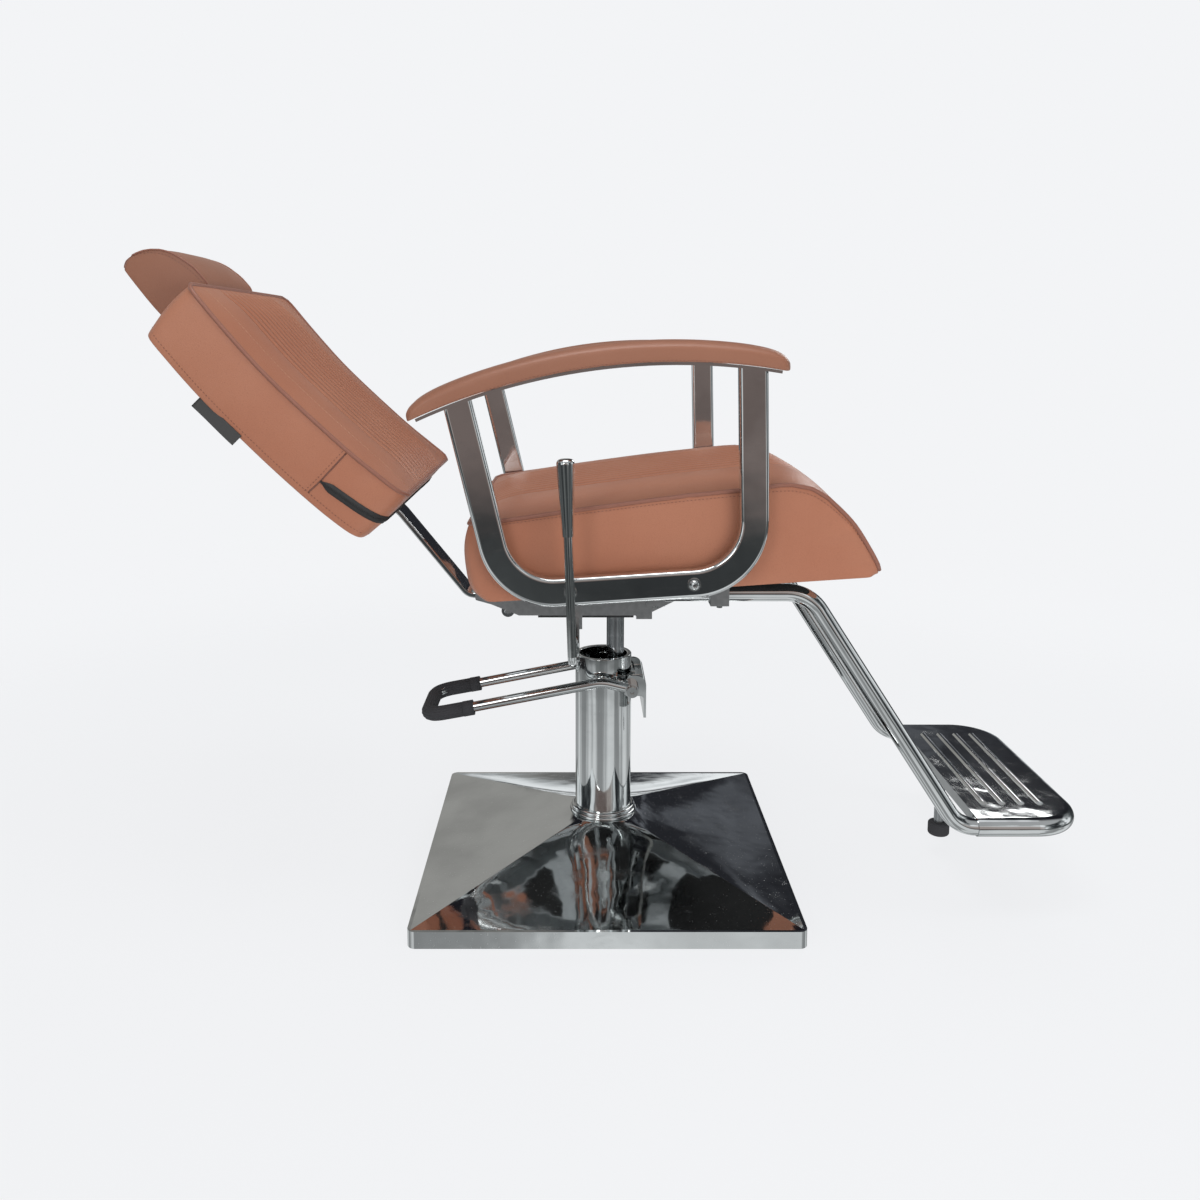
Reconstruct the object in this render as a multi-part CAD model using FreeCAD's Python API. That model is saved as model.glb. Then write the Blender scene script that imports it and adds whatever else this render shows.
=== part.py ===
"""Hydraulic barber chair: pump base, swivelling seat, reclining back, headrest and footrest.

Frame: millimetres, +Z up, +X forward, +Y to the sitter's left.
Origin: centre of the square base, on the floor.
Every piece is a closed solid (or a group of like solids) in its own STEP file.
"""
import FreeCAD, Part
import math
import os

V = FreeCAD.Vector
ORIGIN = V(0, 0, 0)
AXIS_X = V(1, 0, 0)
AXIS_Y = V(0, 1, 0)
AXIS_Z = V(0, 0, 1)

# Fits
running_gap = 0.05          # radial clearance of a pin or shaft that turns
slide_gap = 0.08            # radial clearance of a rod that slides
fixed_gap = 0.05            # radial clearance of a bolt in its hole
soft_gap = 0.3              # between upholstery and the pieces beside it

# Base
base_side = 560.0
base_rim = 25.0             # height of the upright edge of the cover
base_corner = 12.0
cover_wall = 2.5
cover_ledge = 5.0           # flat step between the rim and the sloping faces
plate_inset = 8.0
plate_height = 10.0
ring_seat_height = 80.0     # where the cover meets the column
ring_height = 9.0
ring_width = 8.5
flange_side = 160.0
flange_height = 10.0
flange_bolt_pitch = 116.0
flange_bolt_diameter = 12.0

# Column and pump
column_diameter = 90.0
column_wall = 2.0
column_seam = 259.0         # where the collar starts
column_top = 343.0
collar_wall = 3.0
collar_lip = 4.0
ram_offset = 19.0           # ram axis, forward of the column axis
ram_diameter = 28.0
ram_bottom = 128.0
ram_shoulder = 416.0
ram_spigot_diameter = 24.0
ram_bore = 36.0
cylinder_wall = 2.0
cylinder_top = 262.0
pump_body_top = 66.0
bore_floor = 72.0
piston_height = 22.0
gland_height = 12.0
plunger_offset = -24.0
plunger_diameter = 14.0
plunger_top = 290.0
plunger_length = 110.0
barrel_top = 240.0
spring_wire = 2.4
spring_turns = 6

# Foot pedal
pedal_pivot_x = 43.0
pedal_pivot_z = 300.0
pedal_half_width = 60.0     # from the centre to each rod
pedal_rod = 16.0
pedal_knee_x = -4.0
pedal_knee_z = 312.0
pedal_end_x = -278.0
pedal_end_z = 258.0
pedal_corner = 34.0
grip_start_x = -207.0
grip_wall = 4.5
yoke_sheet = 4.0
yoke_gap = 3.0              # between the collar and each cheek
yoke_back_x = 66.0
yoke_rise = 20.0            # top of the yoke above the pivot
yoke_pin = 6.0
touch_gap = 0.3             # between moving faces that only push on each other
yoke_low_z = 252.0
tine_height = 9.0
tine_overhang = 5.0         # of each tip past the plunger axis
tine_thickness = 5.0
pivot_bolt = 10.0

# Swivel and the chassis under the seat
bearing_height = 4.0
hub_diameter = 50.0
hub_top = 464.0
hub_flange_side = 100.0
hub_flange_height = 6.0
hub_bolt_pitch = 76.0
hub_bolt_diameter = 8.0
chassis_half_width = 100.0
chassis_sheet = 3.0
chassis_rear_x = -186.0
chassis_front_x = 150.0
chassis_bottom = 429.0
chassis_level_x = 60.0      # ahead of this the lower edge rises
chassis_front_z = 474.0
bridge_rear_x = -70.0
bridge_front_x = 100.0
bridge_sheet = 5.0

# Seat: a board and a cushion, tipped up at the front
seat_rear_x = -146.0        # rear lower edge of the seat
seat_rear_z = 490.0
seat_tilt = 3.8             # degrees
seat_half_width = 270.0
seat_length = 498.0         # along the underside
seat_board_height = 15.0
seat_board_inset = 16.0
seat_rear_bulge = 50.0      # how far the rear panel stands behind the lower edge
seat_height = 125.0
seat_undercut = 26.0        # rear end of the underside behind the lower edge
seat_crown = 22.0           # rise of the middle above the seams
seat_nose = 20.0            # how far the nose stands ahead of the underside

# Side frames and arms
frame_centre_y = 290.0
frame_width = 38.0          # flat-oval tube, across its flat face
frame_depth = 20.0
frame_wall = 2.0
frame_bend = 82.0           # radius of the tube's centre line
rear_post_top_x = -206.0
rear_post_foot_x = -136.0
front_post_top_x = 184.0
front_post_foot_x = 194.0
rail_height = 15.0          # rail centre above the seat's underside
beam_width = 40.0
beam_height = 8.0
frame_bolt_x = (-50.0, 113.0)
frame_bolt_diameter = 8.0
end_plate = 4.0
strip_rear_x = -249.0
strip_rear_z = 737.0
strip_crown_x = -10.0
strip_crown_z = 804.0
strip_front_x = 220.0
strip_front_z = 799.0
strip_sheet = 4.0
strip_width = 36.0
pad_height = 29.0
pad_width = 56.0
pad_overhang = 5.0

# Footrest
foot_tube = 25.4
foot_tube_wall = 2.0
foot_half_width = seat_half_width - 80.0
foot_upper_z = 486.0
foot_rear_x = 40.0
foot_knee_x = 286.0
foot_ankle_x = 513.0
foot_lower_z = 137.0
foot_front_x = 690.0
foot_bend = 58.0
foot_lower_bend = 48.0
foot_corner = 62.0
foot_plate_rear_x = 540.0
foot_plate_sheet = 1.5
foot_plate_flange = 16.0
foot_rib_count = 4
foot_rib_height = 3.0
foot_rib_width = 12.0
foot_post_x = 552.0
foot_post_diameter = 16.0
foot_puck_diameter = 34.0
foot_puck_height = 21.0
foot_puck_bottom = 36.0
clamp_x = (68.0, 158.0)
clamp_length = 26.0
clamp_sheet = 2.5           # of the saddle, below the tube
clamp_flank = 8.3           # of the saddle, each side of the tube
clamp_width = foot_tube + 2 * clamp_flank

# Reclining back
back_pivot_x = -150.0
back_pivot_z = 468.0
hinge_pin = 14.0
hinge_sleeve = 22.0
back_foot_x = -328.0        # lower rear corner of the back cushion
back_foot_z = 571.0
back_lean = 45.4            # degrees from upright
back_half_width = 250.0
back_height = 405.0
back_depth = 84.0           # from the frame's rear face to the front panel
back_rear_bulge = 14.0      # of the rear panel, behind the frame
back_board_height = 12.0
back_board_inset = 18.0
back_bar_width = 60.0
back_bar_sheet = 8.0
back_bar_reach = 250.0      # how far the bar runs up behind the board
back_bar_bend_x = -214.0
back_bar_level_z = 443.0
back_bar_bend = 22.0
crank_sheet = 5.0
label_length = 75.0
label_width = 17.0
label_sheet = 1.0

# Headrest
head_half_width = 110.0
head_stem = 10.0
head_stem_spacing = 120.0
head_stem_depth = 150.0     # length of stem inside the back
head_stem_offset = 38.0     # from the rear face of the back
socket_wall = 2.0

# Gas spring and its release lever
gas_y = -72.0
gas_front_x = 60.0
gas_rear_x = -148.0
gas_z = 431.0
gas_cylinder_diameter = 24.0
gas_cylinder_length = 146.0
gas_rod_diameter = 10.0
gas_pin = 8.0
gas_eye = 20.0
gas_eye_width = 12.0
gas_neck = 6.0               # between the front eye and the barrel
gas_open_gap = 2.0          # the free end of the linkage
shaft_x = -45.0
shaft_z = 447.0
lever_rod = 12.0
lever_y = -330.0
lever_return_y = -306.0
lever_low_z = 416.0
lever_top_z = 600.0
lever_top_x = -54.0
knob_length = 100.0
knob_top_diameter = 24.0
knob_neck_diameter = 15.0

parts = {}


def box(x0, x1, y0, y1, z0, z1):
    """Axis-aligned block between two corners."""
    return Part.makeBox(x1 - x0, y1 - y0, z1 - z0, V(x0, y0, z0))


def rod(diameter, start, end):
    """Round bar from one point to another."""
    run = end - start
    return Part.makeCylinder(diameter / 2, run.Length, start, run)


def pipe(outer, inner, start, end):
    """Round tube from one point to another."""
    return rod(outer, start, end).cut(rod(inner, start, end))


def both_sides(shape):
    """The shape and its mirror image across the chair's centre plane."""
    return [shape, shape.mirror(ORIGIN, AXIS_Y)]


def rounded(points, radii, closed=False):
    """Edges along a polyline whose corners are rounded by tangent arcs."""
    count = len(points)
    starts = list(points)
    ends = list(points)
    arcs = [None] * count
    for i in range(count):
        if not closed and i in (0, count - 1):
            continue
        corner = points[i]
        back = points[i - 1] - corner
        ahead = points[(i + 1) % count] - corner
        back.normalize()
        ahead.normalize()
        half = back.getAngle(ahead) / 2
        radius = radii[i] if isinstance(radii, (list, tuple)) else radii
        if radius <= 0 or half > math.radians(89.9):
            continue
        reach = radius / math.tan(half)
        centre_way = back + ahead
        centre_way.normalize()
        middle = corner + centre_way * (radius / math.sin(half) - radius)
        starts[i] = corner + back * reach
        ends[i] = corner + ahead * reach
        arcs[i] = Part.Arc(starts[i], middle, ends[i]).toShape()
    edges = []
    for i in range(count):
        if arcs[i]:
            edges.append(arcs[i])
        if i < count - 1 or closed:
            nxt = (i + 1) % count
            if (starts[nxt] - ends[i]).Length > 1e-4:
                edges.append(Part.LineSegment(ends[i], starts[nxt]).toShape())
    return edges


def side_face(points, radii=0.0):
    """Flat face in the X-Z plane from (x, z) points with rounded corners."""
    corners = [V(x, 0, z) for x, z in points]
    return Part.Face(Part.Wire(rounded(corners, radii, closed=True)))


def slab(points, y0, y1, radii=0.0):
    """Side outline extruded across the chair from y0 to y1."""
    face = side_face(points, radii)
    face.translate(V(0, y0, 0))
    return face.extrude(V(0, y1 - y0, 0))


def sweep(section, path_edges, binormal=None):
    """Solid made by carrying a closed section along a path."""
    shell = Part.BRepOffsetAPI.MakePipeShell(Part.Wire(path_edges))
    if binormal:
        shell.setBiNormalMode(binormal)
    shell.add(section)
    shell.build()
    shell.makeSolid()
    return shell.shape()


def circle(diameter, centre, normal):
    """Closed circular wire."""
    return Part.Wire(Part.Circle(centre, normal, diameter / 2).toShape())


def bent_rod(diameter, points, radii):
    """Round bar bent along a polyline."""
    path = rounded(points, radii)
    return sweep(circle(diameter, points[0], points[1] - points[0]), path)


def bent_pipe(diameter, wall, points, radii):
    """Round tube bent along a polyline."""
    outer = bent_rod(diameter, points, radii)
    return outer.cut(bent_rod(diameter - 2 * wall, points, radii))


def dome_head(diameter, height, place, way):
    """Shallow domed screw head seated at a point and facing away along a direction."""
    radius = diameter / 2
    ball = (radius * radius + height * height) / (2 * height)
    way = V(way)
    way.normalize()
    head = Part.makeSphere(ball, place + way * (height - ball))
    return head.common(Part.makeCylinder(radius, height, place, way))


def hex_socket(size, depth, place, side):
    """Hexagonal recess of a socket screw that faces along Y, towards the given side."""
    radius = size / math.sqrt(3)
    corners = [V(radius * math.cos(math.radians(60 * i)), 0, radius * math.sin(math.radians(60 * i)))
               for i in range(7)]
    face = Part.Face(Part.makePolygon(corners))
    face.translate(place)
    return face.extrude(V(0, -side * depth, 0))


def group(shapes):
    """Several separate solids kept in one node."""
    return Part.makeCompound(shapes)


def in_seat(shape):
    """Moves a shape drawn on the level seat plane to the tipped seat."""
    moved = shape.copy()
    moved.translate(V(seat_rear_x, 0, seat_rear_z))
    moved.rotate(V(seat_rear_x, 0, seat_rear_z), AXIS_Y, -seat_tilt)
    return moved


def in_back(shape):
    """Moves a shape drawn upright to the leaning back."""
    moved = shape.copy()
    moved.translate(V(back_foot_x, 0, back_foot_z))
    moved.rotate(V(back_foot_x, 0, back_foot_z), AXIS_Y, -back_lean)
    return moved


def seat_run(x):
    """Distance along the tipped seat plane of a point given by its level X."""
    return (x - seat_rear_x) / math.cos(math.radians(seat_tilt))


def seat_point(x, y, height):
    """World place of a point above the tipped underside, from its level X at the underside."""
    a = math.radians(seat_tilt)
    return V(x - height * math.sin(a), y, seat_under(x) + height * math.cos(a))


def seat_under(x):
    """Height of the seat's underside at X."""
    return seat_rear_z + (x - seat_rear_x) * math.tan(math.radians(seat_tilt))


# ---------------------------------------------------------------- base

def base_section(reach, height, bow):
    """Four-sided ring with its corners on the diagonals and its sides bowed in or out."""
    corners = [V(a * reach, b * reach, height) for a, b in ((1, 1), (-1, 1), (-1, -1), (1, -1))]
    middles = [V(0, bow, height), V(-bow, 0, height), V(0, -bow, height), V(bow, 0, height)]
    edges = []
    for i in range(4):
        edges.append(Part.Arc(corners[i], middles[i], corners[(i + 1) % 4]).toShape())
    return Part.Wire(edges)


def base_slope(inset, drop):
    """Solid pyramid with hollow faces that rises from the rim to the column."""
    foot = base_side / 2 - cover_ledge - inset
    ring_radius = column_diameter / 2 + ring_width
    top = ring_radius / math.sqrt(2)
    rise = ring_seat_height - base_rim
    sections = [base_section(foot, base_rim - drop, foot - 0.5)]
    for share, hollow in ((0.35, 0.13), (0.7, 0.17)):
        reach = foot + (top - foot) * share
        height = base_rim + rise * share
        sections.append(base_section(reach, height - drop, reach * (1 - hollow)))
    sections.append(base_section(top, ring_seat_height - drop, ring_radius))
    return Part.makeLoft(sections, True, False)


def rounded_square(side, height, corner, z0):
    """Square block standing on z0 with rounded upright edges."""
    block = box(-side / 2, side / 2, -side / 2, side / 2, z0, z0 + height)
    upright = [e for e in block.Edges if abs(e.tangentAt(e.FirstParameter).z) > 0.9]
    return block.makeFillet(corner, upright)


def make_base():
    rim = rounded_square(base_side, base_rim, base_corner, 0)
    inner_side = base_side - 2 * cover_wall
    hollow = rounded_square(inner_side, base_rim - cover_wall, base_corner - cover_wall, 0)
    hollow = hollow.fuse(base_slope(cover_wall, cover_wall))
    cover = rim.fuse(base_slope(0, 0)).cut(hollow)
    column_hole = column_diameter + 2 * soft_gap
    cover = cover.cut(rod(column_hole, ORIGIN, V(0, 0, column_top)))
    parts["base_cover"] = cover.removeSplitter()

    plate = rounded_square(base_side - 2 * (cover_wall + plate_inset), plate_height, base_corner, 0)
    flange = rounded_square(flange_side, flange_height, base_corner, plate_height)
    bolts = []
    half = flange_bolt_pitch / 2
    bolt_floor = 2.0
    for x in (-half, half):
        for y in (-half, half):
            top = V(x, y, plate_height + flange_height)
            shank = rod(flange_bolt_diameter, V(x, y, bolt_floor), top)
            head = rod(flange_bolt_diameter * 1.6, top, top + V(0, 0, flange_bolt_diameter * 0.6))
            bolts.append(shank.fuse(head))
            hole = rod(flange_bolt_diameter + 2 * fixed_gap, V(x, y, bolt_floor), top)
            plate = plate.cut(hole)
            flange = flange.cut(hole)
    parts["base_plate"] = plate
    parts["pump_flange"] = flange
    parts["base_bolts"] = group(bolts)

    ring_inner = column_diameter / 2 + fixed_gap
    ring_outer = ring_inner + ring_width
    z0 = ring_seat_height
    half_width = ring_width / 2
    section = [(ring_inner, z0), (ring_outer, z0), (ring_outer, z0 + ring_height)]
    section.append((ring_inner, z0 + ring_height))
    face = side_face(section, [0, half_width * 0.45, half_width * 0.9, 0])
    parts["base_ring"] = face.revolve(ORIGIN, AXIS_Z, 360)


# ---------------------------------------------------------------- column and pump

def make_column():
    foot = plate_height + flange_height
    inner = column_diameter - 2 * column_wall
    cover = pipe(column_diameter, inner, V(0, 0, foot), V(0, 0, column_seam))
    parts["column_cover"] = cover

    collar = rod(column_diameter, V(0, 0, column_seam), V(0, 0, column_top))
    bore = column_diameter - 2 * collar_wall
    collar = collar.cut(rod(bore, V(0, 0, column_seam), V(0, 0, column_top - collar_lip)))
    mouth = bore - 2 * collar_lip
    collar = collar.cut(rod(mouth, V(0, 0, column_seam), V(0, 0, column_top)))
    top_rim = [e for e in collar.Edges if abs(e.BoundBox.ZMin - column_top) < 1e-3]
    collar = collar.makeFillet(1.2, top_rim)
    tine_y = tine_inner_y()
    slot_low = pedal_pivot_z - 36
    slot_high = pedal_pivot_z + 14
    for side in (-1, 1):
        y0, y1 = sorted((side * (tine_y - 2), side * (tine_y + tine_thickness + 2)))
        collar = collar.cut(box(0, column_diameter, y0, y1, slot_low, slot_high))
    for end in (-1, 1):
        start = V(pedal_pivot_x, end * pivot_inner_y(), pedal_pivot_z)
        boss = rod(pivot_bolt * 2, start, V(pedal_pivot_x, end * cheek_inner_y(), pedal_pivot_z))
        collar = collar.fuse(boss)
    collar = collar.cut(rod(bore, V(0, 0, column_seam), V(0, 0, column_top - collar_lip)))
    pivot_hole = rod(pivot_bolt, V(pedal_pivot_x, -100, pedal_pivot_z), V(pedal_pivot_x, 100, pedal_pivot_z))
    parts["column_collar"] = collar.cut(pivot_hole)


def pivot_inner_y():
    """Where the pedal's pivot bosses start: just inside the collar's wall at the pivot."""
    outer = column_diameter / 2
    boss_radius = pivot_bolt
    wall_x = min(pedal_pivot_x - boss_radius, outer - collar_wall)
    return math.sqrt(max(outer * outer - wall_x * wall_x, 1.0)) - collar_wall


def cheek_inner_y():
    """Inner face of the pedal yoke's cheeks."""
    return column_diameter / 2 + yoke_gap


def tine_inner_y():
    """Inner face of the tines that straddle the ram."""
    return ram_diameter / 2 + 4.0


def make_pump():
    foot = plate_height + flange_height
    body_diameter = column_diameter - 2 * column_wall - 6.0
    cylinder_outer = ram_bore + 2 * cylinder_wall
    barrel_outer = plunger_diameter + 10.0
    ram_axis = V(ram_offset, 0, 0)
    plunger_axis = V(plunger_offset, 0, 0)
    body = rod(body_diameter, V(0, 0, foot), V(0, 0, bore_floor))
    body = body.cut(rod(cylinder_outer, ram_axis + V(0, 0, pump_body_top), ram_axis + V(0, 0, bore_floor)))
    body = body.cut(rod(barrel_outer, plunger_axis + V(0, 0, pump_body_top),
                        plunger_axis + V(0, 0, bore_floor)))
    parts["pump_body"] = body

    cylinder_high = ram_axis + V(0, 0, cylinder_top)
    cylinder = rod(cylinder_outer, ram_axis + V(0, 0, pump_body_top), cylinder_high)
    parts["ram_cylinder"] = cylinder.cut(rod(ram_bore, ram_axis + V(0, 0, bore_floor), cylinder_high))

    gland_low = ram_axis + V(0, 0, cylinder_top - gland_height)
    parts["ram_gland"] = pipe(ram_bore, ram_diameter + 2 * slide_gap, gland_low, cylinder_high)

    barrel = pipe(barrel_outer, plunger_diameter + 2 * slide_gap,
                  plunger_axis + V(0, 0, pump_body_top), plunger_axis + V(0, 0, barrel_top))
    parts["plunger_barrel"] = barrel

    cap = 6.0
    head_diameter = plunger_diameter + 8.0
    plunger = rod(plunger_diameter, plunger_axis + V(0, 0, plunger_top - plunger_length),
                  plunger_axis + V(0, 0, plunger_top - cap))
    plunger = plunger.fuse(rod(head_diameter, plunger_axis + V(0, 0, plunger_top - cap),
                               plunger_axis + V(0, 0, plunger_top)))
    parts["pump_plunger"] = plunger

    coil_centre = plunger_diameter / 2 + 0.8 + spring_wire / 2
    spring_low = barrel_top + spring_wire / 2
    spring_high = plunger_top - cap - spring_wire / 2
    pitch = (spring_high - spring_low) / spring_turns
    helix = Part.makeHelix(pitch, spring_high - spring_low, coil_centre)
    start = V(coil_centre, 0, 0)
    section = circle(spring_wire, start, V(0, coil_centre, pitch / (2 * math.pi)))
    coil = Part.Wire(helix).makePipeShell([section], True, True)
    coil.translate(V(plunger_offset, 0, spring_low))
    parts["plunger_spring"] = coil


def make_ram():
    axis = V(ram_offset, 0, 0)
    spigot_top = hub_top - 2.0
    ram = rod(ram_diameter, axis + V(0, 0, ram_bottom), axis + V(0, 0, ram_shoulder))
    ram = ram.fuse(rod(ram_spigot_diameter, axis + V(0, 0, ram_shoulder), axis + V(0, 0, spigot_top)))
    parts["ram"] = ram
    piston_low = axis + V(0, 0, ram_bottom - piston_height)
    piston_high = axis + V(0, 0, ram_bottom)
    piston = rod(ram_bore - 2 * slide_gap, piston_low, piston_high)
    groove_low = axis + V(0, 0, ram_bottom - piston_height * 0.65)
    groove_high = axis + V(0, 0, ram_bottom - piston_height * 0.35)
    seal_depth = 3.0
    groove = pipe(ram_bore, ram_bore - 2 * seal_depth, groove_low, groove_high)
    parts["ram_piston"] = piston.cut(groove)
    parts["piston_seal"] = pipe(ram_bore - 2 * slide_gap, ram_bore - 2 * seal_depth, groove_low, groove_high)
    bearing_low = axis + V(0, 0, ram_shoulder)
    bearing_high = axis + V(0, 0, ram_shoulder + bearing_height)
    parts["swivel_bearing"] = pipe(hub_diameter - 4.0, ram_spigot_diameter, bearing_low, bearing_high)


# ---------------------------------------------------------------- foot pedal

def make_pedal():
    cheek_in = cheek_inner_y()
    cheek_out = cheek_in + yoke_sheet
    pivot = V(pedal_pivot_x, 0, pedal_pivot_z)
    cheek_top = pedal_pivot_z + yoke_rise
    outline = [(pedal_pivot_x - 12, pedal_pivot_z - 13), (pedal_pivot_x - 12, pedal_pivot_z + 8),
               (pedal_pivot_x - 4, cheek_top), (yoke_back_x, cheek_top), (yoke_back_x, yoke_low_z),
               (yoke_back_x - yoke_sheet, yoke_low_z), (yoke_back_x - yoke_sheet, pedal_pivot_z - 13)]
    radii = [6, 8, 8, 16, 0, 0, 5]
    yoke = slab(outline, -cheek_out, cheek_out, radii)
    inner = slab([(pedal_pivot_x - 40, yoke_low_z - 5), (pedal_pivot_x - 40, cheek_top + 5),
                  (yoke_back_x - yoke_sheet, cheek_top + 5), (yoke_back_x - yoke_sheet, yoke_low_z - 5)],
                 -cheek_in, cheek_in)
    yoke = yoke.cut(inner)
    tine_low = plunger_top
    tine_high = plunger_top + tine_height
    tine_y = tine_inner_y()
    tine_tip_x = plunger_offset - tine_overhang
    tine_root_x = yoke_back_x - yoke_sheet
    tines = []
    for y0 in (tine_y, -tine_y - tine_thickness):
        tines.append(box(tine_tip_x, tine_root_x, y0, y0 + tine_thickness, tine_low, tine_high))
    pin_y = tine_y + tine_thickness
    pin_z = plunger_top + yoke_pin / 2 + touch_gap
    pin = rod(yoke_pin, V(plunger_offset, -pin_y, pin_z), V(plunger_offset, pin_y, pin_z))
    hole = rod(pivot_bolt + 2 * running_gap, pivot + V(0, -100, 0), pivot + V(0, 100, 0))
    parts["pedal_yoke"] = yoke.fuse(tines).fuse(pin).cut(hole).removeSplitter()

    bolts = []
    rod_out = pedal_half_width + pedal_rod / 2
    for side in (-1, 1):
        way = V(0, side, 0)
        shank_start = V(pedal_pivot_x, side * (pivot_inner_y() + 0.5), pedal_pivot_z)
        head_place = V(pedal_pivot_x, side * (rod_out + 0.4), pedal_pivot_z)
        bolt = rod(pivot_bolt, shank_start, head_place)
        head = rod(pivot_bolt * 1.7, head_place, head_place + way * pivot_bolt * 0.6)
        head = head.cut(hex_socket(pivot_bolt * 0.6, 3.0, head_place + way * pivot_bolt * 0.6, side))
        bolts.append(bolt.fuse(head))
    parts["pedal_pivot_bolts"] = group(bolts)

    eyes = []
    legs = []
    for side in (-1, 1):
        y = side * pedal_half_width
        eye_in = V(pedal_pivot_x, side * (cheek_out + 0.1), pedal_pivot_z)
        eye_out = V(pedal_pivot_x, side * rod_out, pedal_pivot_z)
        eyes.append(rod(pedal_rod + 6, eye_in, eye_out))
        legs.append(V(pedal_pivot_x - 6, y, pedal_pivot_z + 2))
    knee = V(pedal_knee_x, 0, pedal_knee_z)
    end = V(pedal_end_x, 0, pedal_end_z)
    route = [legs[0], knee + V(0, -pedal_half_width, 0), end + V(0, -pedal_half_width, 0),
             end + V(0, pedal_half_width, 0), knee + V(0, pedal_half_width, 0), legs[1]]
    bar = bent_rod(pedal_rod, route, [0, 60, pedal_corner, pedal_corner, 60, 0])
    for eye in eyes:
        bar = bar.fuse(eye)
    bar = bar.cut(rod(pivot_bolt + 2 * running_gap, pivot + V(0, -120, 0), pivot + V(0, 120, 0)))
    cheek_box = box(pedal_pivot_x - 30, yoke_back_x + 5, -cheek_out - 0.05, cheek_out + 0.05,
                    yoke_low_z - 5, cheek_top + 20)
    parts["pedal_bar"] = bar.cut(cheek_box)

    down = (end - knee)
    down.normalize()
    grip_from = knee + down * ((grip_start_x - pedal_knee_x) / down.x)
    grip_route = [grip_from + V(0, -pedal_half_width, 0), end + V(0, -pedal_half_width, 0),
                  end + V(0, pedal_half_width, 0), grip_from + V(0, pedal_half_width, 0)]
    radii = [0, pedal_corner, pedal_corner, 0]
    grip = bent_rod(pedal_rod + 2 * grip_wall, grip_route, radii)
    parts["pedal_grip"] = grip.cut(bent_rod(pedal_rod, grip_route, radii))


# ---------------------------------------------------------------- chassis and seat

def make_hub():
    axis = V(ram_offset, 0, 0)
    hub_low = ram_shoulder + bearing_height + running_gap
    bore = ram_spigot_diameter + 2 * running_gap
    hub = rod(hub_diameter, axis + V(0, 0, hub_low), axis + V(0, 0, hub_top))
    half = hub_flange_side / 2
    z1 = hub_top + hub_flange_height
    hub = hub.fuse(box(ram_offset - half, ram_offset + half, -half, half, hub_top, z1))
    hub = hub.cut(rod(bore, axis + V(0, 0, hub_low), axis + V(0, 0, hub_top)))
    bolts = []
    pitch = hub_bolt_pitch / 2
    bridge_top = z1 + bridge_sheet
    holes = []
    for x in (ram_offset - pitch, ram_offset + pitch):
        for y in (-pitch, pitch):
            low = V(x, y, hub_top)
            high = V(x, y, bridge_top)
            head = rod(hub_bolt_diameter * 1.7, low - V(0, 0, 5), low)
            nut = rod(hub_bolt_diameter * 1.7, high, high + V(0, 0, 6))
            bolts.append(rod(hub_bolt_diameter, low, high + V(0, 0, 8)).fuse(head).fuse(nut))
            holes.append(rod(hub_bolt_diameter + 2 * fixed_gap, low, high))
    for hole in holes:
        hub = hub.cut(hole)
    parts["seat_hub"] = hub
    parts["hub_bolts"] = group(bolts)
    return holes


def make_chassis(hub_holes):
    wall = chassis_sheet
    out = chassis_half_width
    outline = [(chassis_rear_x, chassis_bottom + 23), (chassis_rear_x + 56, chassis_bottom),
               (chassis_level_x, chassis_bottom), (chassis_front_x, chassis_front_z),
               (chassis_front_x, seat_under(chassis_front_x)),
               (chassis_rear_x, seat_under(chassis_rear_x))]
    frame = slab(outline, -out, out)
    inside = slab([(chassis_rear_x - 10, chassis_bottom - 10), (chassis_front_x + 10, chassis_bottom - 10),
                   (chassis_front_x + 10, seat_under(chassis_front_x + 10) - wall),
                   (chassis_rear_x - 10, seat_under(chassis_rear_x - 10) - wall)], -out + wall, out - wall)
    frame = frame.cut(inside)
    bridge_low = hub_top + hub_flange_height
    frame = frame.fuse(box(bridge_rear_x, bridge_front_x, -out + wall, out - wall,
                           bridge_low, bridge_low + bridge_sheet))
    lug_in = gas_eye_width / 2 + 0.1
    for y0, y1 in ((gas_y - lug_in - 5, gas_y - lug_in), (gas_y + lug_in, gas_y + lug_in + 5)):
        frame = frame.fuse(box(gas_front_x - 12, gas_front_x + 12, y0, y1, gas_z - 12, bridge_low))
    for y in (-out, out - wall):
        near = V(back_pivot_x, y, back_pivot_z)
        frame = frame.cut(rod(hinge_pin, near, near + V(0, wall, 0)))
    shaft_place = V(shaft_x, -out - 1, shaft_z)
    frame = frame.cut(rod(lever_rod + 2 * running_gap, shaft_place, shaft_place + V(0, wall + 2, 0)))
    pin_out = lug_in + 5
    pin_middle = V(gas_front_x, gas_y, gas_z)
    frame = frame.fuse(rod(gas_pin, pin_middle - V(0, pin_out, 0), pin_middle + V(0, pin_out, 0)))
    for hole in hub_holes:
        frame = frame.cut(hole)
    for x in frame_bolt_x:
        frame = frame.cut(beam_block(x, 2 * out + 2))
    parts["seat_chassis"] = frame.removeSplitter()


def beam_block(x, length):
    """Outer block of one cross beam, under the tipped seat."""
    s = seat_run(x)
    return in_seat(box(s - beam_width / 2, s + beam_width / 2, -length / 2, length / 2, -beam_height, 0))


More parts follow.
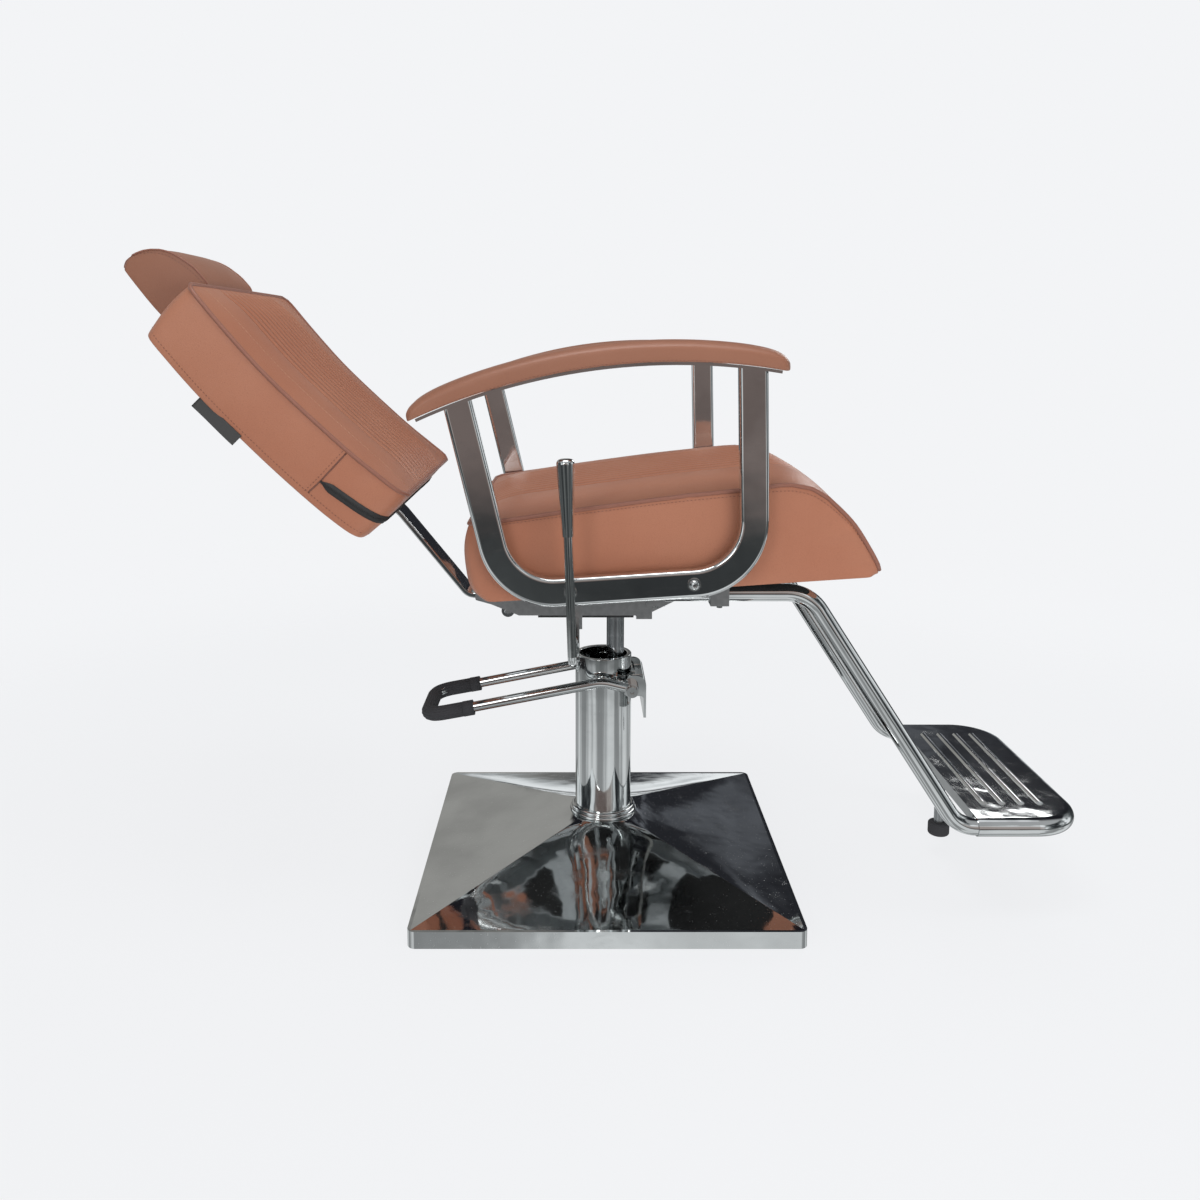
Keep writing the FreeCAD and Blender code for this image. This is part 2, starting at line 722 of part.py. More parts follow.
def make_beams():
    """Two cross beams with upright end plates for the side frames and a lug for the lever."""
    beams = []
    plate_out = frame_centre_y - frame_depth / 2
    plate_in = plate_out - end_plate
    for x in frame_bolt_x:
        s = seat_run(x)
        half = beam_width / 2
        beam = box(s - half, s + half, -plate_in, plate_in, -beam_height, 0)
        for y0, y1 in ((-plate_out, -plate_in), (plate_in, plate_out)):
            plate = box(s - half, s + half, y0, y1, -beam_height, rail_height + 12)
            beam = beam.fuse(plate)
        bolt = rod(frame_bolt_diameter, V(s, -plate_out - 1, rail_height), V(s, plate_out + 1, rail_height))
        beam = in_seat(beam.cut(bolt))
        for y in (-foot_half_width, foot_half_width):
            start = V(foot_rear_x, y, foot_upper_z)
            beam = beam.cut(rod(foot_tube + 2 * fixed_gap, start, V(foot_knee_x, y, foot_upper_z)))
        beams.append(beam)
    bearing_y = -200.0
    lug_top = seat_under(shaft_x) - beam_height / 2
    lug = box(shaft_x - 10, shaft_x + 10, bearing_y, bearing_y + 5, shaft_z - 12, lug_top)
    lug = lug.cut(rod(lever_rod + 2 * running_gap, V(shaft_x, bearing_y - 1, shaft_z),
                      V(shaft_x, bearing_y + 6, shaft_z)))
    beams[0] = beams[0].fuse(lug)
    parts["cross_beams"] = group(beams)


def seat_outline():
    """Side outline of the seat on its own level plane, as (distance, height) points."""
    return [(-seat_undercut, 0), (-seat_rear_bulge, seat_height * 0.45),
            (12 - seat_rear_bulge, seat_height * 0.94),
            (seat_length * 0.66, seat_height + 17), (seat_length * 0.8, seat_height + seat_crown),
            (seat_length * 0.91, seat_height * 0.88), (seat_length * 0.984, seat_height * 0.48),
            (seat_length + seat_nose, 9), (seat_length + seat_nose / 2, 0)]


def make_seat():
    inset = seat_board_inset
    half = seat_half_width - inset
    board = box(inset, seat_length - inset * 2, -half, half, 0, seat_board_height)
    parts["seat_board"] = in_seat(board)
    radii = [18, 40, 25, 60, 60, 60, 60, 5, 3]
    cushion = slab(seat_outline(), -seat_half_width, seat_half_width, radii)
    parts["seat_cushion"] = in_seat(cushion.cut(board))

    screws = []
    screw_diameter = 6.0
    for s in (50.0, 150.0, 215.0):
        for y in (-70.0, 70.0):
            top = V(s, y, seat_board_height - 3)
            screws.append((s, y, top))
    solids = []
    chassis = parts["seat_chassis"]
    board_solid = parts["seat_board"]
    for s, y, top in screws:
        shank = in_seat(rod(screw_diameter, V(s, y, -chassis_sheet), top))
        head = in_seat(rod(screw_diameter * 2, V(s, y, -chassis_sheet - 4), V(s, y, -chassis_sheet)))
        chassis = chassis.cut(shank)
        board_solid = board_solid.cut(shank)
        solids.append(shank.fuse(head))
    parts["seat_chassis"] = chassis
    parts["seat_board"] = board_solid
    parts["seat_screws"] = group(solids)


# ---------------------------------------------------------------- side frames and arms

def flat_oval(centre, across, depth):
    """Flat-oval wire whose long way lies along the given direction."""
    long_way = V(across)
    long_way.normalize()
    half = frame_width / 2 if depth == frame_depth else (frame_width - 2 * frame_wall) / 2
    thick = depth / 2
    corner = thick * 0.55
    y = AXIS_Y
    points = [centre + long_way * half + y * thick, centre - long_way * half + y * thick,
              centre - long_way * half - y * thick, centre + long_way * half - y * thick]
    return Part.Wire(rounded(points, corner, closed=True))


def strip_curve(offset, x_from=0.0, x_to=0.0):
    """Arc of the armrest, raised by an offset from the strip's underside."""
    low = V(strip_rear_x, 0, strip_rear_z)
    mid = V(strip_crown_x, 0, strip_crown_z)
    high = V(strip_front_x, 0, strip_front_z)
    centre = Part.Arc(low, mid, high).toShape().Curve.Center
    ends = []
    for point, shift in ((low, x_from), (mid, 0.0), (high, x_to)):
        way = point - centre
        angle = math.atan2(way.z, way.x) - shift / way.Length
        reach = way.Length + offset
        ends.append(V(centre.x + reach * math.cos(angle), 0, centre.z + reach * math.sin(angle)))
    return ends


def arm_slab(low, high, width, x_from, x_to):
    """Curved slab that follows the armrest between two heights."""
    a = strip_curve(low, x_from, x_to)
    b = strip_curve(high, x_from, x_to)
    edges = [Part.Arc(a[0], a[1], a[2]).toShape(), Part.LineSegment(a[2], b[2]).toShape(),
             Part.Arc(b[2], b[1], b[0]).toShape(), Part.LineSegment(b[0], a[0]).toShape()]
    face = Part.Face(Part.Wire(edges))
    face.translate(V(0, -width / 2, 0))
    return face.extrude(V(0, width, 0))


def make_side_frames():
    rear_foot = seat_point(rear_post_foot_x, 0, rail_height)
    front_foot = seat_point(front_post_foot_x, 0, rail_height)
    rear_top = V(rear_post_top_x, 0, strip_rear_z + 60)
    front_top = V(front_post_top_x, 0, strip_front_z + 60)
    route = [rear_top, rear_foot, front_foot, front_top]
    path = rounded(route, frame_bend)
    across = (rear_foot - rear_top).cross(AXIS_Y)
    outer = sweep(flat_oval(rear_top, across, frame_depth), path, AXIS_Y)
    inner = sweep(flat_oval(rear_top, across, frame_depth - 2 * frame_wall), path, AXIS_Y)
    tube = outer.cut(inner)
    above = arm_slab(0, 200, 200, -80, 80)
    tube = tube.cut(above)

    strip = arm_slab(0, strip_sheet, strip_width, 0, 0)
    pad = arm_slab(strip_sheet, strip_sheet + pad_height, pad_width, -pad_overhang, pad_overhang)
    edges = [e for e in pad.Edges if e.Length > 20]
    pad = pad.makeFillet(pad_height * 0.32, edges)

    screws = []
    arm_screw = 6.0
    arm_screw_head = 2.0
    for x in (-150.0, -10.0, 130.0):
        base = strip_point(x)
        way = base[1]
        seat_of_head = base[0] + way * arm_screw_head
        end = base[0] + way * (strip_sheet + pad_height * 0.6)
        screw = rod(arm_screw, base[0], end).fuse(rod(arm_screw * 1.8, base[0], seat_of_head))
        screws.append(screw)
        strip = strip.cut(screw)
        pad = pad.cut(screw)

    bolts = []
    washers = []
    holes = []
    washer_sheet = 2.0
    dome_height = 5.0
    for x in frame_bolt_x:
        face = seat_point(x, -frame_depth / 2, rail_height)
        place = face - AXIS_Y * washer_sheet
        head = dome_head(frame_bolt_diameter * 1.75, dome_height, place, -AXIS_Y)
        head = head.cut(hex_socket(5.0, 3.0, place - AXIS_Y * dome_height, -1))
        shank = rod(frame_bolt_diameter, place, face + AXIS_Y * (frame_depth + end_plate))
        bolts.append(shank.fuse(head))
        washers.append(pipe(frame_bolt_diameter * 2.2, frame_bolt_diameter, place, face))
        holes.append(rod(frame_bolt_diameter, place, face + AXIS_Y * frame_depth))
    for hole in holes:
        tube = tube.cut(hole)

    pieces = {"side_frame": tube, "arm_strip": strip, "arm_pad": pad}
    for side, y in (("right", -frame_centre_y), ("left", frame_centre_y)):
        for name, shape in pieces.items():
            placed = shape if side == "right" else shape.mirror(ORIGIN, AXIS_Y)
            placed = placed.copy()
            placed.translate(V(0, y, 0))
            parts[f"{name}_{side}"] = placed
    for name, solids in (("arm_pad_screws", screws), ("side_frame_bolts", bolts),
                         ("side_frame_washers", washers)):
        placed = []
        for solid in solids:
            right = solid.copy()
            right.translate(V(0, -frame_centre_y, 0))
            placed.extend(both_sides(right))
        parts[name] = group(placed)


def strip_point(x):
    """Point on the strip's underside at X, with the way straight up through the pad."""
    low, mid, high = strip_curve(0)
    centre = Part.Arc(low, mid, high).toShape().Curve.Center
    radius = (low - centre).Length
    z = centre.z + math.sqrt(radius * radius - (x - centre.x) ** 2)
    point = V(x, 0, z)
    way = point - centre
    way.normalize()
    return point, way


# ---------------------------------------------------------------- footrest

def foot_route():
    """Centre line of the footrest tube from one rear end to the other."""
    y = foot_half_width
    side = [V(foot_rear_x, 0, foot_upper_z), V(foot_knee_x, 0, foot_upper_z),
            V(foot_ankle_x, 0, foot_lower_z), V(foot_front_x, 0, foot_lower_z)]
    route = [p + V(0, -y, 0) for p in side]
    route += [p + V(0, y, 0) for p in reversed(side)]
    radii = [0, foot_bend, foot_lower_bend, foot_corner]
    return route, radii + list(reversed(radii))


def make_footrest():
    route, radii = foot_route()
    tube = bent_pipe(foot_tube, foot_tube_wall, route, radii)
    parts["footrest_frame"] = tube

    y = foot_half_width
    z = foot_lower_z
    shell_route = [V(foot_plate_rear_x, -y, z), V(foot_front_x, -y, z), V(foot_front_x, y, z),
                   V(foot_plate_rear_x, y, z)]
    shell_radii = [0, foot_corner, foot_corner, 0]
    sleeve = bent_rod(foot_tube + 2 * foot_plate_sheet, shell_route, shell_radii)
    core = bent_rod(foot_tube + 2 * fixed_gap, shell_route, shell_radii)
    top = z + foot_tube / 2 + foot_plate_sheet
    panel_face = Part.Wire(rounded(shell_route, foot_corner, closed=False)
                           + [Part.LineSegment(shell_route[3], shell_route[0]).toShape()])
    panel = Part.Face(panel_face).extrude(V(0, 0, foot_plate_sheet))
    panel.translate(V(0, 0, top - z - foot_plate_sheet))
    flange = box(foot_plate_rear_x, foot_plate_rear_x + foot_plate_sheet, -y + foot_tube / 2 + 2,
                 y - foot_tube / 2 - 2, top - foot_plate_flange, top)
    plate = sleeve.fuse(panel).fuse(flange).cut(core)
    rib_span = foot_front_x - foot_plate_rear_x - foot_tube - 40
    for i in range(foot_rib_count):
        x = foot_plate_rear_x + 28 + rib_span * i / (foot_rib_count - 1)
        length = 2 * (y - foot_tube - 22)
        rib = rod(foot_rib_width, V(x, -length / 2, 0), V(x, length / 2, 0))
        rib.translate(V(0, 0, top + foot_rib_height - foot_rib_width / 2))
        plate = plate.fuse(rib.common(box(x - 20, x + 20, -y, y, top - 0.5, top + 10)))
    parts["footrest_plate"] = plate.removeSplitter()

    brace_low = top - foot_plate_sheet - 14
    brace_high = top - foot_plate_sheet
    brace = box(foot_post_x - 10, foot_post_x + 10, -y, y, brace_low, brace_high)
    brace = brace.cut(bent_rod(foot_tube + 2 * foot_plate_sheet, shell_route, shell_radii))
    post_low = foot_puck_bottom + foot_puck_height * 0.6
    post = rod(foot_post_diameter, V(foot_post_x, 0, post_low), V(foot_post_x, 0, brace_low))
    parts["footrest_brace"] = brace.fuse(post)
    puck = rod(foot_puck_diameter, V(foot_post_x, 0, foot_puck_bottom),
               V(foot_post_x, 0, foot_puck_bottom + foot_puck_height))
    rims = [e for e in puck.Edges if e.BoundBox.ZLength < 1e-3]
    puck = puck.makeFillet(4.0, rims)
    parts["footrest_foot"] = puck.cut(post)

    clamps = []
    bolts = []
    half = clamp_length / 2
    for x in clamp_x:
        for side in (-1, 1):
            yc = side * y
            low = foot_upper_z - foot_tube / 2 - clamp_sheet
            block = slab([(x - half, low), (x + half, low), (x + half, seat_under(x + half)),
                          (x - half, seat_under(x - half))], yc - clamp_width / 2, yc + clamp_width / 2)
            block = block.cut(rod(foot_tube, V(x - 40, yc, foot_upper_z), V(x + 40, yc, foot_upper_z)))
            for dy in (-clamp_width / 2 + 4, clamp_width / 2 - 4):
                top_end = V(x, yc + dy, seat_under(x) + seat_board_height * 0.7)
                shank = rod(5.0, V(x, yc + dy, low), top_end)
                head = rod(8.0, V(x, yc + dy, low - clamp_sheet), V(x, yc + dy, low))
                block = block.cut(shank)
                parts["seat_board"] = parts["seat_board"].cut(shank)
                bolts.append(shank.fuse(head))
            clamps.append(block)
    parts["footrest_clamps"] = group(clamps)
    parts["footrest_clamp_bolts"] = group(bolts)


# ---------------------------------------------------------------- reclining back

def back_point(x, z):
    """World place of a point drawn on the upright back."""
    a = math.radians(back_lean)
    return V(back_foot_x + x * math.cos(a) - z * math.sin(a), 0,
             back_foot_z + x * math.sin(a) + z * math.cos(a))


def make_back():
    bar_x = back_bar_sheet
    top = back_point(bar_x, back_bar_reach)
    foot = back_point(bar_x, -6)
    bend = V(back_bar_bend_x, 0, back_bar_level_z)
    tip = V(back_pivot_x - 6, 0, back_bar_level_z)
    path = rounded([top, foot, bend, tip], [0, 60, back_bar_bend, 0])
    run = foot - top
    side_way = run.cross(AXIS_Y)
    side_way.normalize()
    half = back_bar_width / 2
    thick = back_bar_sheet / 2
    corners = [top + side_way * thick + V(0, half, 0), top - side_way * thick + V(0, half, 0),
               top - side_way * thick - V(0, half, 0), top + side_way * thick - V(0, half, 0)]
    bar = sweep(Part.Wire(rounded(corners, 2.0, closed=True)), path, AXIS_Y)

    board_x = bar_x + thick
    inset = back_board_inset
    board = box(board_x, board_x + back_board_height, -back_half_width + inset,
                back_half_width - inset, inset, back_height - inset)
    cushion = box(-back_rear_bulge, back_depth, -back_half_width, back_half_width, 0, back_height)
    cushion = cushion.makeFillet(14.0, cushion.Edges)
    cushion = cushion.cut(board)
    slot = box(bar_x - thick, bar_x + thick, -half, half, -20, back_bar_reach + 0.5)
    cushion = in_back(cushion.cut(slot))
    board = in_back(board)

    screws = []
    for z in (70.0, 150.0, 225.0):
        for y in (-18.0, 18.0):
            start = V(bar_x - thick, y, z)
            shank = in_back(rod(6.0, start, V(board_x + back_board_height * 0.8, y, z)))
            screws.append(shank)
            bar = bar.cut(shank)
            board = board.cut(shank)
    parts["back_bar_screws"] = group(screws)

    stem_x = head_stem_offset
    sockets = []
    socket_low = back_height - head_stem_depth - 12
    socket_outer = head_stem + 2 * slide_gap + 2 * socket_wall
    for y in (-head_stem_spacing / 2, head_stem_spacing / 2):
        outer = rod(socket_outer, V(stem_x, y, socket_low), V(stem_x, y, back_height + 4))
        bore = rod(head_stem + 2 * slide_gap, V(stem_x, y, socket_low), V(stem_x, y, back_height + 4))
        collar = rod(socket_outer + 8, V(stem_x, y, back_height), V(stem_x, y, back_height + 4))
        sockets.append(in_back(outer.fuse(collar).cut(bore)))
        socket_axis = V(stem_x, y, socket_low)
        cushion = cushion.cut(in_back(rod(socket_outer, socket_axis, V(stem_x, y, back_height + 30))))
    parts["headrest_sockets"] = group(sockets)
    parts["back_cushion"] = cushion
    parts["back_board"] = board
    parts["back_bar"] = bar

    zip_thick = 1.2
    zip_width = 14.0
    zip_x = back_depth * 0.5
    parts["back_zip"] = in_back(box(zip_x, zip_x + zip_width, -back_half_width + 30,
                                    back_half_width - 30, -zip_thick, 0))
    label_low = back_height * 0.54
    label = box(-back_rear_bulge - label_width * 0.8, label_width * 0.2 - back_rear_bulge,
                -back_half_width - label_sheet, -back_half_width, label_low, label_low + label_length)
    parts["back_label"] = in_back(label)


def make_crank():
    px = back_pivot_x
    pz = back_pivot_z
    level = back_bar_level_z
    outline = [(back_bar_bend_x + 12, level - 6), (gas_rear_x, gas_z - 9), (gas_rear_x + 11, gas_z - 2),
               (px + 14, pz), (px + 6, pz + 13), (px - 9, pz + 11), (px - 22, level + 14),
               (back_bar_bend_x + 12, level + 7)]
    half = back_bar_width / 2
    crank = rod(hinge_sleeve, V(px, -half, pz), V(px, half, pz))
    for y0 in (-half - crank_sheet, half):
        crank = crank.fuse(slab(outline, y0, y0 + crank_sheet, 3.0))
    eye_out = gas_y - gas_eye_width / 2 - 3
    crank = crank.fuse(rod(gas_pin, V(gas_rear_x, eye_out, gas_z), V(gas_rear_x, half + crank_sheet, gas_z)))
    pin_hole = rod(hinge_pin + 2 * running_gap, V(px, -200, pz), V(px, 200, pz))
    parts["back_crank"] = crank.cut(pin_hole)
    out = chassis_half_width
    pin = rod(hinge_pin, V(px, -out, pz), V(px, out, pz))
    for side in (-1, 1):
        place = V(px, side * out, pz)
        pin = pin.fuse(dome_head(hinge_pin * 1.5, 4.0, place, V(0, side, 0)))
    parts["back_hinge_pin"] = pin


def make_gas_spring():
    eye_half = gas_eye_width / 2
    front = V(gas_front_x, gas_y, gas_z)
    rear = V(gas_rear_x, gas_y, gas_z)
    barrel_front = gas_front_x - gas_eye / 2 - gas_neck
    barrel_rear = barrel_front - gas_cylinder_length
    bore = gas_rod_diameter + 2 * slide_gap
    barrel = rod(gas_cylinder_diameter, V(barrel_rear, gas_y, gas_z), V(barrel_front, gas_y, gas_z))
    cavity_front = barrel_front - 8
    barrel = barrel.cut(rod(bore, V(barrel_rear, gas_y, gas_z), V(cavity_front, gas_y, gas_z)))
    eye = rod(gas_eye, front - V(0, eye_half, 0), front + V(0, eye_half, 0))
    neck = rod(gas_eye_width, front, V(barrel_front, gas_y, gas_z))
    barrel = barrel.fuse(neck.fuse(eye))
    barrel = barrel.cut(rod(gas_pin + 2 * running_gap, front - V(0, 50, 0), front + V(0, 50, 0)))
    parts["gas_cylinder"] = barrel
    rod_front = barrel_rear + 40.0
    piston_rod = rod(gas_rod_diameter, rear, V(rod_front, gas_y, gas_z))
    rear_eye = rod(gas_eye, rear - V(0, eye_half, 0), rear + V(0, eye_half, 0))
    piston_rod = piston_rod.fuse(rear_eye)
    open_hole = gas_pin + 2 * gas_open_gap
    piston_rod = piston_rod.cut(rod(open_hole, rear - V(0, 50, 0), rear + V(0, 50, 0)))
    parts["gas_rod"] = piston_rod


def make_lever():
    inner_end = -chassis_half_width + 12
    up = V(lever_top_x, lever_y, lever_top_z)
    low_out = V(shaft_x - 3, lever_y, lever_low_z + lever_rod / 2)
    low_in = V(shaft_x, lever_return_y, lever_low_z + lever_rod / 2)
    turn = V(shaft_x, lever_return_y, shaft_z)
    end = V(shaft_x, inner_end, shaft_z)
    bend = (abs(lever_y) - abs(lever_return_y)) / 2 - 0.2
    lever = bent_rod(lever_rod, [up, low_out, low_in, turn, end], [0, bend, bend, 8, 0])
    parts["recline_lever"] = lever
    way = up - low_out
    way.normalize()
    knob_low = up - way * 8
    knob = Part.makeCone(knob_neck_diameter / 2, knob_top_diameter / 2, knob_length, knob_low, way)
    knob_edges = [e for e in knob.Edges if e.BoundBox.ZMin > knob_low.z + knob_length * 0.8
                  and e.BoundBox.ZLength < knob_length / 4]
    knob = knob.makeFillet(6.0, knob_edges)
    parts["lever_knob"] = knob.cut(lever)
    cam_y = inner_end - 8
    cam = slab([(shaft_x - 11, shaft_z + 10), (shaft_x + 11, shaft_z + 10), (shaft_x + 13, shaft_z - 14),
                (shaft_x + 6, shaft_z - 36), (shaft_x - 3, shaft_z - 30), (shaft_x - 2, shaft_z - 16)],
               cam_y, cam_y + 7, 3.0)
    parts["release_cam"] = cam.cut(lever)


# ---------------------------------------------------------------- headrest

def make_headrest():
    gap = back_height + 17
    outline = [(-8, gap - 8), (5, gap + 108), (26, gap + 112), (52, gap + 99), (73, gap + 76), (83, gap + 44),
               (82, gap + 8), (72, gap - 4)]
    cushion = slab(outline, -head_half_width, head_half_width, [5, 8, 12, 30, 30, 25, 8, 5])
    sides = [e for e in cushion.Edges if e.BoundBox.YLength < 1e-3]
    cushion = cushion.makeFillet(5.0, sides)
    stem_x = head_stem_offset
    board = box(stem_x - 6, stem_x + 6, -head_half_width + 15, head_half_width - 15, gap + 32, gap + 90)
    cushion = cushion.cut(board)
    stems = []
    low = back_height - head_stem_depth
    for y in (-head_stem_spacing / 2, head_stem_spacing / 2):
        stem = rod(head_stem, V(stem_x, y, low), V(stem_x, y, gap + 80))
        stems.append(in_back(stem))
        board = board.cut(stem)
        cushion = cushion.cut(stem)
    parts["headrest_stems"] = group(stems)
    parts["headrest_board"] = in_back(board)
    parts["headrest_cushion"] = in_back(cushion)


def main():
    make_base()
    make_column()
    make_pump()
    make_ram()
    make_pedal()
    hub_holes = make_hub()
    make_chassis(hub_holes)
    make_beams()
    make_seat()
    make_side_frames()
    make_footrest()
    make_back()
    make_crank()
    make_gas_spring()
    make_lever()
    make_headrest()
    os.makedirs("parts", exist_ok=True)
    for name, shape in parts.items():
        shape.exportStep(f"parts/{name}.step")


main()
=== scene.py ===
"""Looks of a hydraulic barber chair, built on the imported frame.

Metres, +Z up, +X towards the footrest, origin on the floor under the middle of the base.
"""

import logging
import math
from dataclasses import dataclass, field
from enum import Enum
from typing import Callable, Optional, Sequence

import bmesh
import bpy
from mathutils import Matrix, Vector, noise
from mathutils.bvhtree import BVHTree


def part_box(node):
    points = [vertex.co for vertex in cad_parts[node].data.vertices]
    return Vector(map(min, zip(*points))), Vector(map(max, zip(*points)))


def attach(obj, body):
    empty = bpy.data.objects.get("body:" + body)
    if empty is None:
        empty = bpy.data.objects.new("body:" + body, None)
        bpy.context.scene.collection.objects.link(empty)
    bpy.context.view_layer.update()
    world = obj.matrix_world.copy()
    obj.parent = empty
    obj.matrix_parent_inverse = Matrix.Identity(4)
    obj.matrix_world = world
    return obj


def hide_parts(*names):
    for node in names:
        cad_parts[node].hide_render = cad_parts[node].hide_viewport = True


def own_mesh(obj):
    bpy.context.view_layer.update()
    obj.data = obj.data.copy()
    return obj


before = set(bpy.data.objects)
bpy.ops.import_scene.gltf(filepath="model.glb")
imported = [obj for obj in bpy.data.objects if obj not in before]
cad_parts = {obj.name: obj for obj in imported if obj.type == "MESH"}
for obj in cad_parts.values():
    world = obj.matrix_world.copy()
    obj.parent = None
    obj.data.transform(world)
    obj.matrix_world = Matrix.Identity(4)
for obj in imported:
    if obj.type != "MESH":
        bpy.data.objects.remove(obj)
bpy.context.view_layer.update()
LOG = logging.getLogger("barber_chair")
Point2 = tuple[float, float]
Spot = tuple[float, float, float]
Tone = tuple[float, float, float]


# ---- shader helpers

class Signal:
    """One output socket that takes part in arithmetic."""

    def __init__(self, shop: "Shop", socket: bpy.types.NodeSocket) -> None:
        """Keeps the tree's helper and the socket."""
        self.shop = shop
        self.socket = socket

    def _math(self, operation: str, *values: "Signal | float") -> "Signal":
        """Adds one Math node and returns its output."""
        return self.shop.add("ShaderNodeMath", {"operation": operation}, dict(enumerate(values)))

    def __add__(self, other: "Signal | float") -> "Signal":
        """Sum."""
        return self._math("ADD", self, other)

    __radd__ = __add__

    def __sub__(self, other: "Signal | float") -> "Signal":
        """Difference."""
        return self._math("SUBTRACT", self, other)

    def __rsub__(self, other: "Signal | float") -> "Signal":
        """Difference, reflected."""
        return self._math("SUBTRACT", other, self)

    def __mul__(self, other: "Signal | float") -> "Signal":
        """Product."""
        return self._math("MULTIPLY", self, other)

    __rmul__ = __mul__

    def __pow__(self, other: "Signal | float") -> "Signal":
        """Power."""
        return self._math("POWER", self, other)

    def sine(self) -> "Signal":
        """Sine of the value in radians."""
        return self._math("SINE", self)

    def angle(self, across: "Signal") -> "Signal":
        """Angle of (across, self) round the upright axis."""
        return self._math("ARCTAN2", self, across)

    def ramp(self, low: float, high: float) -> "Signal":
        """Smooth step from 0 at low to 1 at high.

        Args:
            low: value that gives 0.
            high: value that gives 1.

        Returns:
            The stepped value.
        """
        return self.shop.add("ShaderNodeMapRange", {"interpolation_type": "SMOOTHSTEP"},
                             {"Value": self, "From Min": low, "From Max": high})


class Shop:
    """Adds nodes to one material or world."""

    def __init__(self, tree: bpy.types.NodeTree) -> None:
        """Starts from an empty tree."""
        self.tree = tree
        tree.nodes.clear()

    def add(self, kind: str, settings: Optional[dict] = None, inputs: Optional[dict] = None,
            output: int | str = 0) -> Signal:
        """Adds one node.

        Args:
            kind: node type name.
            settings: attributes of the node, set first; "stops" fills a colour ramp.
            inputs: values or signals of its sockets, by name or place.
            output: name or place of the output to return.

        Returns:
            The chosen output.
        """
        node = self.tree.nodes.new(kind)
        for key, value in (settings or {}).items():
            if key == "stops":
                elements = node.color_ramp.elements
                while len(elements) < len(value):
                    elements.new(0.5)
                for element, (place, colour) in zip(elements, value):
                    element.position = place
                    element.color = colour
            else:
                setattr(node, key, value)
        for key, value in (inputs or {}).items():
            if isinstance(value, Signal):
                self.tree.links.new(value.socket, node.inputs[key])
            else:
                node.inputs[key].default_value = value
        return Signal(self, node.outputs[output])

    def place(self) -> Signal:
        """Place on the piece, in metres."""
        return self.add("ShaderNodeTexCoord", output="Object")

    def noise(self, where: Signal, scale: float, detail: float = 3.0, rough: float = 0.5) -> Signal:
        """Soft noise from 0 to 1."""
        return self.add("ShaderNodeTexNoise", None,
                        {"Vector": where, "Scale": scale, "Detail": detail, "Roughness": rough})

    def split(self, where: Signal) -> tuple[Signal, Signal, Signal]:
        """The three parts of a vector."""
        first = self.add("ShaderNodeSeparateXYZ", None, {"Vector": where})
        node = first.socket.node
        return tuple(Signal(self, node.outputs[axis]) for axis in "XYZ")

    def mix(self, share: Signal | float, first: Signal | Sequence[float],
            second: Signal | Sequence[float]) -> Signal:
        """Mix of two colours.

        Args:
            share: 0 gives the first and 1 the second.
            first: colour or signal.
            second: colour or signal.

        Returns:
            The mixed colour.
        """
        return self.add("ShaderNodeMix", {"data_type": "RGBA"}, {0: share, 6: first, 7: second}, 2)

    def stretch(self, where: Signal, size: Sequence[float]) -> Signal:
        """The place scaled along each axis."""
        return self.add("ShaderNodeMapping", None, {"Vector": where, "Scale": size})

    def bump(self, height: Signal, depth: float, share: float = 1.0) -> Signal:
        """Surface direction from a height in units of depth metres."""
        return self.add("ShaderNodeBump", None, {"Height": height, "Strength": share, "Distance": depth})


SPECK_SCALE = 520.0   # of dust, in cells per metre
GRAIN_SCALE = 620.0   # of leathercloth, in cells per metre


def rgba(red: float, green: float, blue: float) -> tuple[float, float, float, float]:
    """Linear colour with full alpha."""
    return (red, green, blue, 1.0)


@dataclass(frozen=True)
class Finish:
    """A surface finish, made once as a material."""

    label: str
    slot: str

    def colour(self, shop: Shop, where: Signal) -> Signal:
        """Base colour over the surface."""
        raise NotImplementedError

    def gloss(self, shop: Shop, where: Signal) -> Signal:
        """Roughness over the surface."""
        raise NotImplementedError

    def relief(self, shop: Shop, where: Signal) -> Signal:
        """Surface direction."""
        raise NotImplementedError

    def constants(self) -> dict[str, float]:
        """Values that are the same all over."""
        return {}

    def material(self) -> bpy.types.Material:
        """Builds the material, or returns it if it is there.

        Returns:
            The material.
        """
        known = bpy.data.materials.get(self.label)
        if known:
            return known
        made = bpy.data.materials.new(self.label)
        made.use_nodes = True
        shop = Shop(made.node_tree)
        where = shop.place()
        inputs: dict = dict(self.constants())
        inputs["Base Color"] = self.colour(shop, where)
        inputs["Roughness"] = self.gloss(shop, where)
        inputs["Normal"] = self.relief(shop, where)
        surface = shop.add("ShaderNodeBsdfPrincipled", None, inputs)
        _close(shop, surface)
        return made


def _close(shop: Shop, surface: Signal, kind: str = "ShaderNodeOutputMaterial") -> None:
    """Joins a shader to the tree's output."""
    node = shop.tree.nodes.new(kind)
    shop.tree.links.new(surface.socket, node.inputs["Surface"])


